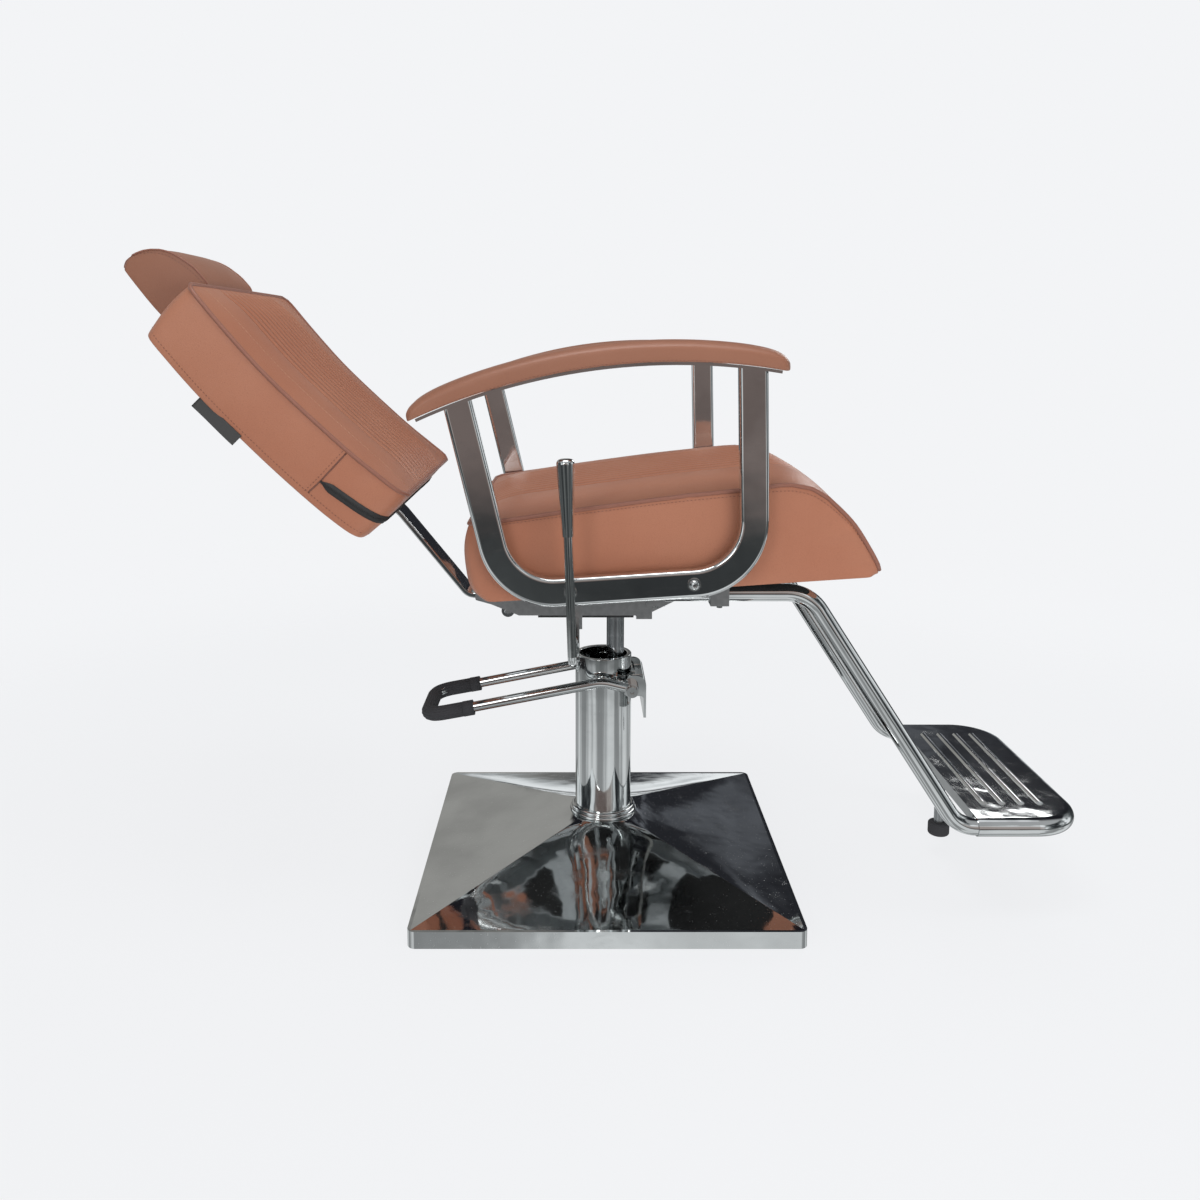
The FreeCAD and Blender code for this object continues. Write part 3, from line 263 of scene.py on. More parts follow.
@dataclass(frozen=True)
class Plated(Finish):
    """Bright plated metal with faint smears and settled dust."""

    tone: Tone = (0.74, 0.76, 0.76)
    shine: float = 0.05
    smear: float = 0.10
    dust: float = 0.0
    grain: float = 0.00002

    def constants(self) -> dict[str, float]:
        """Metal all through."""
        return {"Metallic": 1.0}

    def colour(self, shop: Shop, where: Signal) -> Signal:
        """Metal tone, clouded a little and speckled where dust settles."""
        cloud = shop.noise(where, 9.0, 4.0).ramp(0.35, 0.75)
        dim = rgba(*(0.80 * part for part in self.tone))
        metal = shop.mix(cloud, rgba(*self.tone), dim)
        if self.dust <= 0.0:
            return metal
        speck = shop.noise(where, SPECK_SCALE, 1.0).ramp(0.72, 0.78)
        patch = shop.noise(where, 22.0, 2.0).ramp(0.35, 0.7)
        return shop.mix(speck * patch * self.dust, metal, rgba(0.86, 0.88, 0.90))

    def gloss(self, shop: Shop, where: Signal) -> Signal:
        """Mirror finish, dulled by wiped smears."""
        smear = shop.noise(shop.stretch(where, (1.0, 1.0, 3.0)), 24.0, 6.0, 0.65).ramp(0.50, 0.80)
        dull = smear * self.smear + self.shine
        if self.dust <= 0.0:
            return dull
        return dull + shop.noise(where, SPECK_SCALE, 1.0).ramp(0.70, 0.78) * (0.5 * self.dust)

    def relief(self, shop: Shop, where: Signal) -> Signal:
        """Very slight waves of pressed and polished sheet."""
        return shop.bump(shop.noise(where, 14.0, 2.0), self.grain * 40.0, 0.5)


@dataclass(frozen=True)
class Zinc(Finish):
    """Zinc plated or brushed steel with a spangled grey."""

    tone: Tone = (0.40, 0.42, 0.43)

    def constants(self) -> dict[str, float]:
        """Metal all through."""
        return {"Metallic": 1.0}

    def colour(self, shop: Shop, where: Signal) -> Signal:
        """Grey with paler spangles."""
        spangle = shop.noise(where, 140.0, 3.0).ramp(0.2, 0.8)
        return shop.mix(spangle, rgba(*self.tone), rgba(0.50, 0.52, 0.53))

    def gloss(self, shop: Shop, where: Signal) -> Signal:
        """Satin, uneven."""
        return shop.noise(where, 35.0, 4.0) * 0.12 + 0.28

    def relief(self, shop: Shop, where: Signal) -> Signal:
        """Fine brushing."""
        return shop.bump(shop.noise(shop.stretch(where, (1.0, 12.0, 1.0)), 180.0, 2.0), 0.0002, 0.35)


@dataclass(frozen=True)
class Hide(Finish):
    """Soft grained upholstery leathercloth."""

    tone: Tone = (0.385, 0.178, 0.122)
    deep: Tone = (0.285, 0.118, 0.078)
    warm: Tone = (0.420, 0.205, 0.155)

    def constants(self) -> dict[str, float]:
        """Slight sheen over the coated cloth."""
        return {"Specular IOR Level": 0.42, "Sheen Weight": 0.04, "Sheen Roughness": 0.45}

    def pebbles(self, shop: Shop, where: Signal) -> Signal:
        """Distance from the grain's pits."""
        return shop.add("ShaderNodeTexVoronoi", {"feature": "DISTANCE_TO_EDGE"},
                        {"Vector": where, "Scale": GRAIN_SCALE})

    def colour(self, shop: Shop, where: Signal) -> Signal:
        """Brown with broad warm patches, dark grain pits and painted shade darkening the sewn creases of the
        pleats.
        """
        broad = shop.noise(where, 5.0, 3.0).ramp(0.25, 0.75)
        body = shop.mix(broad, rgba(*self.tone), rgba(*self.warm))
        pits = self.pebbles(shop, where).ramp(0.0, 0.09)
        grained = shop.mix((1.0 - pits) * 0.35, body, rgba(*self.deep))
        # Painted shade: a vertex attribute darkens the cloth along the sewn pleat creases.
        groove = shop.add("ShaderNodeAttribute", {"attribute_name": "groove"}, output="Fac")
        return shop.mix(groove.ramp(0.05, 0.9) * 0.85, grained, rgba(*(0.35 * part for part in self.deep)))

    def gloss(self, shop: Shop, where: Signal) -> Signal:
        """Semi-matt, shinier where it is rubbed."""
        return shop.noise(where, 16.0, 4.0) * 0.16 + 0.31

    def relief(self, shop: Shop, where: Signal) -> Signal:
        """Pebbled grain over slow unevenness of the filling."""
        pebble = self.pebbles(shop, where).ramp(0.0, 0.22)
        fine = shop.noise(where, 1500.0, 2.0)
        slow = shop.noise(where, 26.0, 3.0)
        return shop.bump(pebble * 0.06 + fine * 0.03 + slow * 1.0, 0.0016, 0.55)


@dataclass(frozen=True)
class Plain(Finish):
    """Rubber, paint, thread, cloth and wood finishes that differ in tone, shine and grain."""

    tone: Tone = (0.02, 0.02, 0.02)
    other: Tone = (0.04, 0.04, 0.04)
    rough: float = 0.55
    scale: float = 40.0
    streak: Tone = (1.0, 1.0, 1.0)
    depth: float = 0.0003

    def colour(self, shop: Shop, where: Signal) -> Signal:
        """Two tones in noise that may be drawn out along one axis."""
        grain = shop.noise(shop.stretch(where, self.streak), self.scale, 5.0).ramp(0.3, 0.7)
        return shop.mix(grain, rgba(*self.tone), rgba(*self.other))

    def gloss(self, shop: Shop, where: Signal) -> Signal:
        """Uneven about its mean."""
        return shop.noise(where, self.scale * 0.6, 3.0) * 0.2 + (self.rough - 0.1)

    def relief(self, shop: Shop, where: Signal) -> Signal:
        """Grain in the same direction as the tones."""
        grain = shop.noise(shop.stretch(where, self.streak), self.scale * 3.0, 3.0)
        return shop.bump(grain, self.depth, 0.5)


CHROME = Plated("chrome_tube", "chrome")
CHROME_BASE = Plated("chrome_pressed_cover", "chrome", dust=0.5, shine=0.045, smear=0.16, grain=0.00003)
CHROME_PLATE = Plated("chrome_foot_plate", "chrome", shine=0.06, smear=0.12, grain=0.00006)
GROUND = Plated("ground_ram_steel", "ground_steel", (0.60, 0.62, 0.64), 0.16, 0.10)
BOLT = Plated("bolt_bright_zinc", "fasteners", (0.66, 0.68, 0.68), 0.16, 0.14)
ZINC = Zinc("zinc_chassis", "zinc_steel")
# Copies of one leathercloth: the top, side and shaded tones are partly the cloth's own hue and partly painted
# light and shade; the darker shaded copy paints shade over the arm pads and the headrest top.
HIDE_SIDE = Hide("leathercloth_side", "upholstery",
                 (0.395, 0.186, 0.145), (0.30, 0.125, 0.09), (0.425, 0.21, 0.17))
HIDE_TOP = Hide("leathercloth_top", "upholstery",
                (0.405, 0.156, 0.088), (0.28, 0.10, 0.060), (0.450, 0.190, 0.112))
HIDE_SHADED = Hide("leathercloth_arm", "upholstery",
                (0.295, 0.126, 0.075), (0.22, 0.09, 0.055), (0.335, 0.148, 0.092))
PIPING = Hide("leathercloth_piping", "upholstery",
              (0.27, 0.112, 0.076), (0.19, 0.075, 0.05), (0.30, 0.13, 0.09))
THREAD = Plain("thread_light", "upholstery", (0.56, 0.35, 0.24), (0.48, 0.28, 0.19), 0.6, 900.0)
THREAD_DARK = Plain("thread_dark", "upholstery", (0.15, 0.065, 0.045), (0.20, 0.085, 0.06), 0.6, 900.0)
RUBBER = Plain("grip_rubber", "grip_rubber", (0.060, 0.062, 0.068), (0.110, 0.113, 0.122), 0.36, 60.0)
BLACK = Plain("black_paint", "black_paint", (0.016, 0.016, 0.017), (0.03, 0.03, 0.03), 0.38, 45.0)
LINING = Plain("lining_black", "plywood", (0.010, 0.010, 0.010), (0.02, 0.02, 0.02), 0.85, 500.0)
PLY = Plain("plywood", "plywood", (0.42, 0.28, 0.15), (0.53, 0.37, 0.22), 0.6, 30.0, (1.0, 0.15, 6.0))
ZIP = Plain("zip_black", "zip_black", (0.012, 0.012, 0.013), (0.03, 0.03, 0.03), 0.45, 700.0)
LABEL = Plain("label_black", "label_black", (0.035, 0.036, 0.04), (0.055, 0.056, 0.06), 0.7, 800.0,
              (1.0, 4.0, 1.0))

WEAR: dict[Finish, tuple[str, ...]] = {
    CHROME: ("base_ring", "column_cover", "column_collar", "pedal_bar", "pedal_yoke", "side_frame_right",
             "side_frame_left", "arm_strip_right", "arm_strip_left", "footrest_frame", "back_bar",
             "recline_lever", "lever_knob", "headrest_stems", "headrest_sockets"),
    CHROME_BASE: ("base_cover",),
    CHROME_PLATE: ("footrest_plate",),
    GROUND: ("ram", "ram_piston", "pump_plunger", "gas_rod"),
    BOLT: ("base_bolts", "pedal_pivot_bolts", "hub_bolts", "seat_screws", "arm_pad_screws",
           "side_frame_bolts", "side_frame_washers", "footrest_clamp_bolts", "back_bar_screws",
           "back_hinge_pin"),
    ZINC: ("seat_hub", "seat_chassis", "cross_beams", "footrest_brace", "footrest_clamps", "back_crank",
           "plunger_spring", "swivel_bearing", "pump_flange", "ram_cylinder", "ram_gland", "plunger_barrel"),
    BLACK: ("base_plate", "pump_body", "gas_cylinder", "release_cam"),
    LINING: ("seat_board",),
    PLY: ("back_board", "headrest_board"),
    RUBBER: ("footrest_foot", "piston_seal", "pedal_grip"),
    HIDE_SIDE: ("seat_cushion", "back_cushion", "headrest_cushion", "arm_pad_right", "arm_pad_left"),
    ZIP: ("back_zip",),
    LABEL: ("back_label",),
}


# ---- mesh helpers

SAME_POINT = 1e-6

def publish(mesh: bmesh.types.BMesh, name: str, finishes: Sequence[Finish], body: str,
            smooth: bool = True) -> bpy.types.Object:
    """Turns a bmesh into a piece that rides on a body.

    Args:
        mesh: the finished bmesh, freed here.
        name: name of the piece.
        finishes: one for each material slot.
        body: body it moves with.
        smooth: whether its faces are shaded smooth.

    Returns:
        The piece.
    """
    bmesh.ops.remove_doubles(mesh, verts=mesh.verts, dist=SAME_POINT)
    bmesh.ops.recalc_face_normals(mesh, faces=mesh.faces)
    data = bpy.data.meshes.new(name)
    for face in mesh.faces:
        face.smooth = smooth
    mesh.to_mesh(data)
    mesh.free()
    piece = bpy.data.objects.new(name, data)
    bpy.context.scene.collection.objects.link(piece)
    for finish in finishes:
        data.materials.append(finish.material())
    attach(piece, body)
    LOG.info("piece %s: %d faces", name, len(data.polygons))
    return piece


def tube(name: str, points: Sequence[Vector], radius: float, finish: Finish, body: str,
         closed: bool = False, ribs: int = 0, rib_depth: float = 0.0) -> bpy.types.Object:
    """A round or ribbed tube along a line of points.

    Args:
        name: name of the piece.
        points: its centre line.
        radius: outer radius.
        finish: its finish.
        body: body it moves with.
        closed: whether the line is a ring.
        ribs: number of lengthwise ribs, or 0 for a round section.
        rib_depth: how deep the hollows between ribs are.

    Returns:
        The piece.
    """
    line = bpy.data.curves.new(name, "CURVE")
    line.dimensions = "3D"
    spline = line.splines.new("POLY")
    spline.points.add(len(points) - 1)
    for knot, point in zip(spline.points, points):
        knot.co = (*point, 1.0)
    spline.use_cyclic_u = closed
    line.use_fill_caps = not closed
    section = None
    if ribs:
        shape = bpy.data.curves.new(name + "_section", "CURVE")
        ring = shape.splines.new("POLY")
        count = ribs * 4
        ring.points.add(count - 1)
        for k, knot in enumerate(ring.points):
            turn = 2 * math.pi * k / count
            reach = radius - rib_depth * (0.5 - 0.5 * math.cos(turn * ribs))
            knot.co = (reach * math.cos(turn), reach * math.sin(turn), 0.0, 1.0)
        ring.use_cyclic_u = True
        section = bpy.data.objects.new(name + "_section", shape)
        line.bevel_mode = "OBJECT"
        line.bevel_object = section
    else:
        line.bevel_depth = radius
        line.bevel_resolution = 3
    holder = bpy.data.objects.new(name + "_line", line)
    bpy.context.scene.collection.objects.link(holder)
    bpy.context.view_layer.update()
    data = bpy.data.meshes.new_from_object(holder.evaluated_get(bpy.context.evaluated_depsgraph_get()))
    bpy.data.objects.remove(holder)
    if section:
        bpy.data.objects.remove(section)
    mesh = bmesh.new()
    mesh.from_mesh(data)
    bpy.data.meshes.remove(data)
    return publish(mesh, name, [finish], body)


def beads(mesh: bmesh.types.BMesh, places: Sequence[tuple[Vector, Vector]], pitch: float, size: Spot,
          lift: float) -> None:
    """Lays small rounded beads, such as stitches, along a line on a surface.

    Args:
        mesh: takes the beads.
        places: points of the line and the surface's outward direction at each.
        pitch: from one bead to the next.
        size: half sizes of a bead along the line, across it and outwards.
        lift: how far its middle stands off the surface.
    """
    carried = 0.0
    for (start, up_a), (end, up_b) in zip(places, places[1:]):
        gap = end - start
        if gap.length < SAME_POINT:
            continue
        along = gap.normalized()
        while carried < gap.length:
            share = carried / gap.length
            up = up_a.lerp(up_b, share).normalized()
            turn = Matrix((along, along.cross(up).normalized(), up)).transposed().to_4x4()
            middle = Matrix.Translation(start.lerp(end, share) + up * lift)
            bmesh.ops.create_icosphere(mesh, subdivisions=1, radius=1.0,
                                       matrix=middle @ turn @ Matrix.Diagonal((*size, 1.0)))
            carried += pitch
        carried -= gap.length


def chain(start: Spot, *legs: tuple[int, Spot]) -> list[Spot]:
    """Evenly spaced (u, v, w) spots along straight legs.

    Args:
        start: the first spot.
        legs: steps and last spot of each leg.

    Returns:
        All the spots, each corner once.
    """
    spots = [start]
    for count, end in legs:
        begin = spots[-1]
        spots += [tuple(a + (b - a) * k / count for a, b in zip(begin, end)) for k in range(1, count + 1)]
    return spots


def around(w: float) -> list[Spot]:
    """Spots round a cushion at a share w of its height, ending where they start."""
    return chain((0.0, -1.0, w), (50, (1.0, -1.0, w)), (40, (1.0, 1.0, w)), (50, (0.0, 1.0, w)),
                 (40, (0.0, -1.0, w)))


def rounded_line(corners: Sequence[Vector], radius: float, steps: int = 8) -> list[Vector]:
    """A line whose corners are rounded.

    Args:
        corners: its corner points.
        radius: distance from each corner at which the curve starts.
        steps: points in each curve.

    Returns:
        The points of the line.
    """
    points = [corners[0]]
    for before, corner, after in zip(corners, corners[1:], corners[2:]):
        start = corner + (before - corner).normalized() * radius
        end = corner + (after - corner).normalized() * radius
        for k in range(steps + 1):
            t = k / steps
            points.append(start.lerp(corner, t).lerp(corner.lerp(end, t), t))
    points.append(corners[-1])
    return points


@dataclass(frozen=True)
class Tilted:
    """A drawing plane that stands upright along the chair and is turned about Y."""

    origin: Vector
    angle: float

    def at(self, along: float, side: float, up: float) -> Vector:
        """Place of a point drawn on the plane."""
        c, s = math.cos(self.angle), math.sin(self.angle)
        return Vector((self.origin.x + along * c - up * s, side, self.origin.z + along * s + up * c))


@dataclass(frozen=True)
class Arc:
    """A drawing strip that follows the arc of the armrest."""

    centre: Point2
    radius: float
    start: float
    side: float

    def at(self, along: float, side: float, up: float) -> Vector:
        """Place of a point drawn on the strip."""
        turn = self.start - along / self.radius
        reach = self.radius + up
        return Vector((self.centre[0] + reach * math.cos(turn), self.side + side,
                       self.centre[1] + reach * math.sin(turn)))


class Contour:
    """A smooth line through points, measured by its length."""

    def __init__(self, points: Sequence[Point2]) -> None:
        """Samples the line finely."""
        ends = [points[0], *points, points[-1]]
        self.line: list[Vector] = []
        for a, b, c, d in zip(ends, ends[1:], ends[2:], ends[3:]):
            a, b, c, d = (Vector(p) for p in (a, b, c, d))
            for k in range(16):
                t = k / 16
                self.line.append(0.5 * ((2 * b) + (c - a) * t + (2 * a - 5 * b + 4 * c - d) * t * t
                                        + (3 * b - a - 3 * c + d) * t ** 3))
        self.line.append(Vector(points[-1]))
        self.reach = [0.0]
        for one, two in zip(self.line, self.line[1:]):
            self.reach.append(self.reach[-1] + (two - one).length)
        self.length = self.reach[-1]

    def at(self, share: float) -> Vector:
        """Point at a share of the length."""
        goal = min(max(share, 0.0), 1.0) * self.length
        for k in range(1, len(self.reach)):
            if self.reach[k] >= goal:
                span = self.reach[k] - self.reach[k - 1]
                t = (goal - self.reach[k - 1]) / span if span > 0 else 0.0
                return self.line[k - 1].lerp(self.line[k], t)
        return self.line[-1].copy()


class Side(Enum):
    """The chair's two sides, by the sign of Y."""

    RIGHT = -1.0
    LEFT = 1.0

    @property
    def word(self) -> str:
        """The side as pieces and nodes are named."""
        return self.name.lower()


ROW_CROWDING = 0.55   # how much closer the lattice rows lie at both ends, from 0 to 1
RISE_LENGTH = 0.07    # from each end, in which the crown and the belly grow to their full height
CLOTH_FRAMES = 20
FOLD_REACH = 0.11     # of the folds in a side panel, as a share of the length
FOLD_RATE = 24.0      # of folds over the whole length
AT_SIDE = 0.999       # shares of the half width above this are on the side panel


@dataclass
class Cushion:
    """A sewn, filled cushion: shaped panels, blown up by a cloth simulation, then pleated and stitched.

    Lengths are in metres. The outline is drawn as (along, up) points.
    """

    name: str
    body: str
    node: str
    at: Callable[[float, float, float], Vector]
    half_width: float
    top: Sequence[Point2]
    under: Sequence[Point2]
    rear: Sequence[Point2]
    front: Sequence[Point2]
    corner_rear: float = 0.035
    corner_front: float = 0.035
    crown: float = 0.010
    belly: float = 0.0
    droop: float = 0.0
    cap: float = 0.010
    pressure: float = 4.0
    cell: float = 0.012
    levels: int = 9
    fill: float = 0.75
    pleats: int = 0
    pleat_pitch: float = 0.024
    pleat_depth: float = 0.004
    pleat_from: float = 0.0
    pleat_to: float = 1.0
    wrinkle_along: float = 0.0
    wrinkle_depth: float = 0.0
    finishes: Sequence[Finish] = (HIDE_TOP, HIDE_SIDE)
    spots: list[Spot] = field(default_factory=list)

    def pleat_lines(self) -> list[float]:
        """Side places of the sewn lines between pleats."""
        if not self.pleats:
            return []
        return [(k - self.pleats / 2) * self.pleat_pitch for k in range(self.pleats + 1)]

    def columns(self) -> list[float]:
        """Side places of the lattice columns, close together at the sewn lines and the edges."""
        lines = self.pleat_lines()
        edge = max(lines) if lines else 0.0
        count = max(3, round((self.half_width - edge) / self.cell))
        outer = [edge + (self.half_width - edge) * math.sin(0.5 * math.pi * k / count)
                 for k in range(1, count + 1)]
        if lines:
            outer.insert(0, edge + 0.12 * self.pleat_pitch)
        inner: list[float] = []
        for line in lines[:-1]:
            inner += [line + self.pleat_pitch * share for share in (0.0, 0.11, 0.3, 0.5, 0.7, 0.89)]
        inner += lines[-1:] or [0.0]
        return [-value for value in reversed(outer)] + inner + outer

    def rows(self) -> list[float]:
        """Shares of the length at the lattice rows, closer at both ends."""
        count = round(self.top_line.length / self.cell)
        return [k / count - ROW_CROWDING * math.sin(2 * math.pi * k / count) / (2 * math.pi)
                for k in range(count + 1)]

    def outline(self, u: float, w: float) -> Vector:
        """Point of the side outline, filled in between its four edges.

        Args:
            u: share from the rear edge to the front edge.
            w: share from the underside to the top.

        Returns:
            The (along, up) point.
        """
        under, top = self.under_line.at(u), self.top_line.at(u)
        rear, front = self.rear_line.at(w), self.front_line.at(w)
        corners = ((1 - u) * ((1 - w) * self.under_line.at(0) + w * self.top_line.at(0))
                   + u * ((1 - w) * self.under_line.at(1) + w * self.top_line.at(1)))
        return (1 - w) * under + w * top + (1 - u) * rear + u * front - corners

    def spot(self, u: float, v: float, w: float) -> Vector:
        """Place on the unblown cushion.

        Args:
            u: share of the length.
            v: share of the half width, from -1 to 1.
            w: share of the height.

        Returns:
            The point in the chair's frame.
        """
        length = self.top_line.length
        half = self.half_width
        for radius, away in ((self.corner_rear, u * length), (self.corner_front, (1 - u) * length)):
            if away < radius:
                half -= radius - math.sqrt(max(radius * radius - (radius - away) ** 2, 0.0))
        point = self.outline(u, w)
        rise = math.sin(0.5 * math.pi * min(1.0, u * length / RISE_LENGTH, (1 - u) * length / RISE_LENGTH))
        lift = self.crown * (1 - abs(v) ** 3) * rise * w
        drop = self.droop * abs(v) ** 4 * w
        swell = self.belly * (1 - abs(v) ** 8) * rise * (1 - w) ** 2
        return self.at(point.x, v * half, point.y + lift - drop - swell)

    def sew(self) -> bmesh.types.BMesh:
        """Makes the lattice of panels.

        Returns:
            The bmesh, with its places of rest.
        """
        self.top_line, self.under_line = Contour(self.top), Contour(self.under)
        self.rear_line, self.front_line = Contour(self.rear), Contour(self.front)
        rows, columns = self.rows(), self.columns()
        counts = (len(rows) - 1, len(columns) - 1, self.levels)
        mesh = bmesh.new()
        bmesh.ops.create_cube(mesh, size=2.0)
        for axis, count in enumerate(counts):
            along = [e for e in mesh.edges if abs(e.verts[0].co[axis] - e.verts[1].co[axis]) > 0.5]
            bmesh.ops.subdivide_edges(mesh, edges=along, cuts=count - 1, use_grid_fill=True)
        # Top panel faces take the first finish and the others the second; for leathercloth copies the tone
        # difference is partly painted light and shade.
        for face in mesh.faces:
            normal = face.normal
            face.material_index = 0 if normal.z > 0.5 else min(1, len(self.finishes) - 1)
        for vertex in mesh.verts:
            i, j, k = (round((vertex.co[a] + 1) / 2 * counts[a]) for a in range(3))
            place = (rows[i], columns[j] / self.half_width, k / counts[2])
            self.spots.append(place)
            vertex.co = self.spot(*place)
        bmesh.ops.recalc_face_normals(mesh, faces=mesh.faces)
        if mesh.calc_volume(signed=True) < 0.0:
            bmesh.ops.reverse_faces(mesh, faces=mesh.faces)
        return mesh

    def blow(self, piece: bpy.types.Object) -> None:
        """Blows the panels up with a cloth simulation between their sewn edges.

        Args:
            piece: the sewn lattice.
        """
        group = piece.vertex_groups.new(name="sewn")
        quilt = self.pleats * self.pleat_pitch / 2 + SAME_POINT
        for index, (u, v, w) in enumerate(self.spots):
            ends = (u in (0.0, 1.0)) + (abs(v) > AT_SIDE) + (w in (0.0, 1.0))
            quilted = self.pleats and w == 1.0 and abs(v) * self.half_width <= quilt
            if ends >= 2 or w == 0.0 or quilted:
                group.add([index], 1.0, "REPLACE")
        cloth = piece.modifiers.new("filling", "CLOTH")
        settings = cloth.settings
        settings.quality = 5
        settings.mass = 0.3
        settings.tension_stiffness = settings.compression_stiffness = 12.0
        settings.bending_stiffness = 0.6
        settings.use_pressure = True
        settings.uniform_pressure_force = self.pressure
        settings.effector_weights.gravity = 0.0
        settings.vertex_group_mass = "sewn"
        cloth.collision_settings.use_collision = False
        scene = bpy.context.scene
        for step in range(1, CLOTH_FRAMES + 1):
            scene.frame_set(step)
        blown = piece.evaluated_get(bpy.context.evaluated_depsgraph_get()).data
        moves = [b.co - a.co for a, b in zip(piece.data.vertices, blown.vertices)]
        piece.modifiers.remove(cloth)
        scene.frame_set(1)
        for vertex, move in zip(piece.data.vertices, moves):
            size = move.length
            if size > 0.0:
                vertex.co += move * (self.cap * math.tanh(size / self.cap) / size)
        LOG.info("%s swelled up to %.1f mm", self.name, max(m.length for m in moves) * 1000)

    def shape_surface(self, piece: bpy.types.Object) -> None:
        """Presses the sewn lines and wrinkles into the blown panels, and stores the painted shade of the sewn
        creases as a vertex attribute.

        Args:
            piece: the blown cushion.
        """
        normals = [vertex.normal.copy() for vertex in piece.data.vertices]
        painted_crease_shades: list[float] = []
        edge = self.pleats * self.pleat_pitch / 2
        for vertex, normal, (u, v, w) in zip(piece.data.vertices, normals, self.spots):
            depth = groove = 0.0
            side = v * self.half_width
            if self.pleats and w == 1.0 and abs(side) <= edge + SAME_POINT:
                start, end = (u - self.pleat_from) / 0.04, (self.pleat_to - u) / 0.05
                fade = min(1.0, max(0.0, start), max(0.0, end))
                swing = abs(math.sin(math.pi * (side + edge) / self.pleat_pitch)) ** 0.7
                depth += self.pleat_depth * (swing - 1.0) * fade
                # Weight of the painted shade in this crease, strongest on the sewn line.
                groove = (1.0 - swing) ** 1.5 * fade
            if self.wrinkle_depth and abs(v) > AT_SIDE and 0.1 < w < 1.0:
                near = math.exp(-((u - self.wrinkle_along) / FOLD_REACH) ** 2) * w ** 1.5
                fold = noise.noise(Vector((u * FOLD_RATE + 4.0 * (1 - w), w * 1.4, v)))
                depth += self.wrinkle_depth * near * fold
                depth += 0.25 * self.wrinkle_depth * noise.noise(Vector((u * 9.0, w * 2.0, v * 3.0)))
            vertex.co += normal * depth
            painted_crease_shades.append(groove)
        # The painted crease shade goes to the leathercloth material as a vertex attribute.
        piece.data.attributes.new("groove", "FLOAT", "POINT").data.foreach_set("value", painted_crease_shades)

    def build(self) -> bpy.types.Object:
        """Returns:
            The piece.
        """
        mesh = self.sew()
        data = bpy.data.meshes.new(self.name)
        for face in mesh.faces:
            face.smooth = True
        mesh.to_mesh(data)
        mesh.free()
        piece = bpy.data.objects.new(self.name, data)
        bpy.context.scene.collection.objects.link(piece)
        self.blow(piece)
        self.shape_surface(piece)
        piece.modifiers.new("round", "SUBSURF").levels = 1
        piece.modifiers["round"].render_levels = 1
        bpy.context.view_layer.update()
        final = bpy.data.meshes.new_from_object(piece.evaluated_get(bpy.context.evaluated_depsgraph_get()))
        piece.modifiers.clear()
        piece.vertex_groups.clear()
        piece.data = final
        final.name = self.name
        final.materials.clear()
        for finish in self.finishes:
            final.materials.append(finish.material())
        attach(piece, self.body)
        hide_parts(self.node)
        self.skin = BVHTree.FromPolygons([v.co for v in final.vertices],
                                         [p.vertices for p in final.polygons])
        LOG.info("cushion %s: %d faces", self.name, len(final.polygons))
        return piece

    def on_line(self, spots: Sequence[Spot]) -> list[tuple[Vector, Vector]]:
        """Nearest points of the finished surface to (u, v, w) spots, each with its outward direction."""
        return [self.skin.find_nearest(self.spot(*spot))[:2] for spot in spots]

    def welt(self, name: str, spots: Sequence[Spot], radius: float, closed: bool = False,
             sunk: float = -0.35, finish: Finish = PIPING) -> bpy.types.Object:
        """Piping sewn along a line of lattice spots.

        Args:
            name: name of the piece.
            spots: its (u, v, w) line.
            radius: of the cord in it.
            closed: whether it is a ring.
            sunk: how far its middle lies below the surface, as a share of its radius.
            finish: of its skin.

        Returns:
            The piece.
        """
        points = [place - normal * radius * sunk for place, normal in self.on_line(spots)]
        return tube(name, points, radius, finish, self.body, closed)

    def stitches(self, name: str, lines: Sequence[Sequence[Spot]], finish: Finish, thick: float = 0.0005,
                 pitch: float = 0.0052, length: float = 0.0034) -> bpy.types.Object:
        """Rows of stitches laid on the surface.

        Args:
            name: name of the piece.
            lines: rows of (u, v, w) spots.
            finish: of the thread.
            thick: half thickness of the thread.
            pitch: from one stitch to the next.
            length: of one stitch.

        Returns:
            The piece.
        """
        mesh = bmesh.new()
        for line in lines:
            beads(mesh, self.on_line(line), pitch, (length / 2, thick, thick), thick * 0.6)
        return publish(mesh, name, [finish], self.body, smooth=False)

    def pleat_rows(self, end: float) -> list[list[Spot]]:
        """Rows of spots along the sewn lines, up to a share of the length."""
        shares = [line / self.half_width for line in self.pleat_lines()]
        return [chain((0.02, share, 1.0), (60, (end, share, 1.0))) for share in shares]


# ---- upholstery of the chair

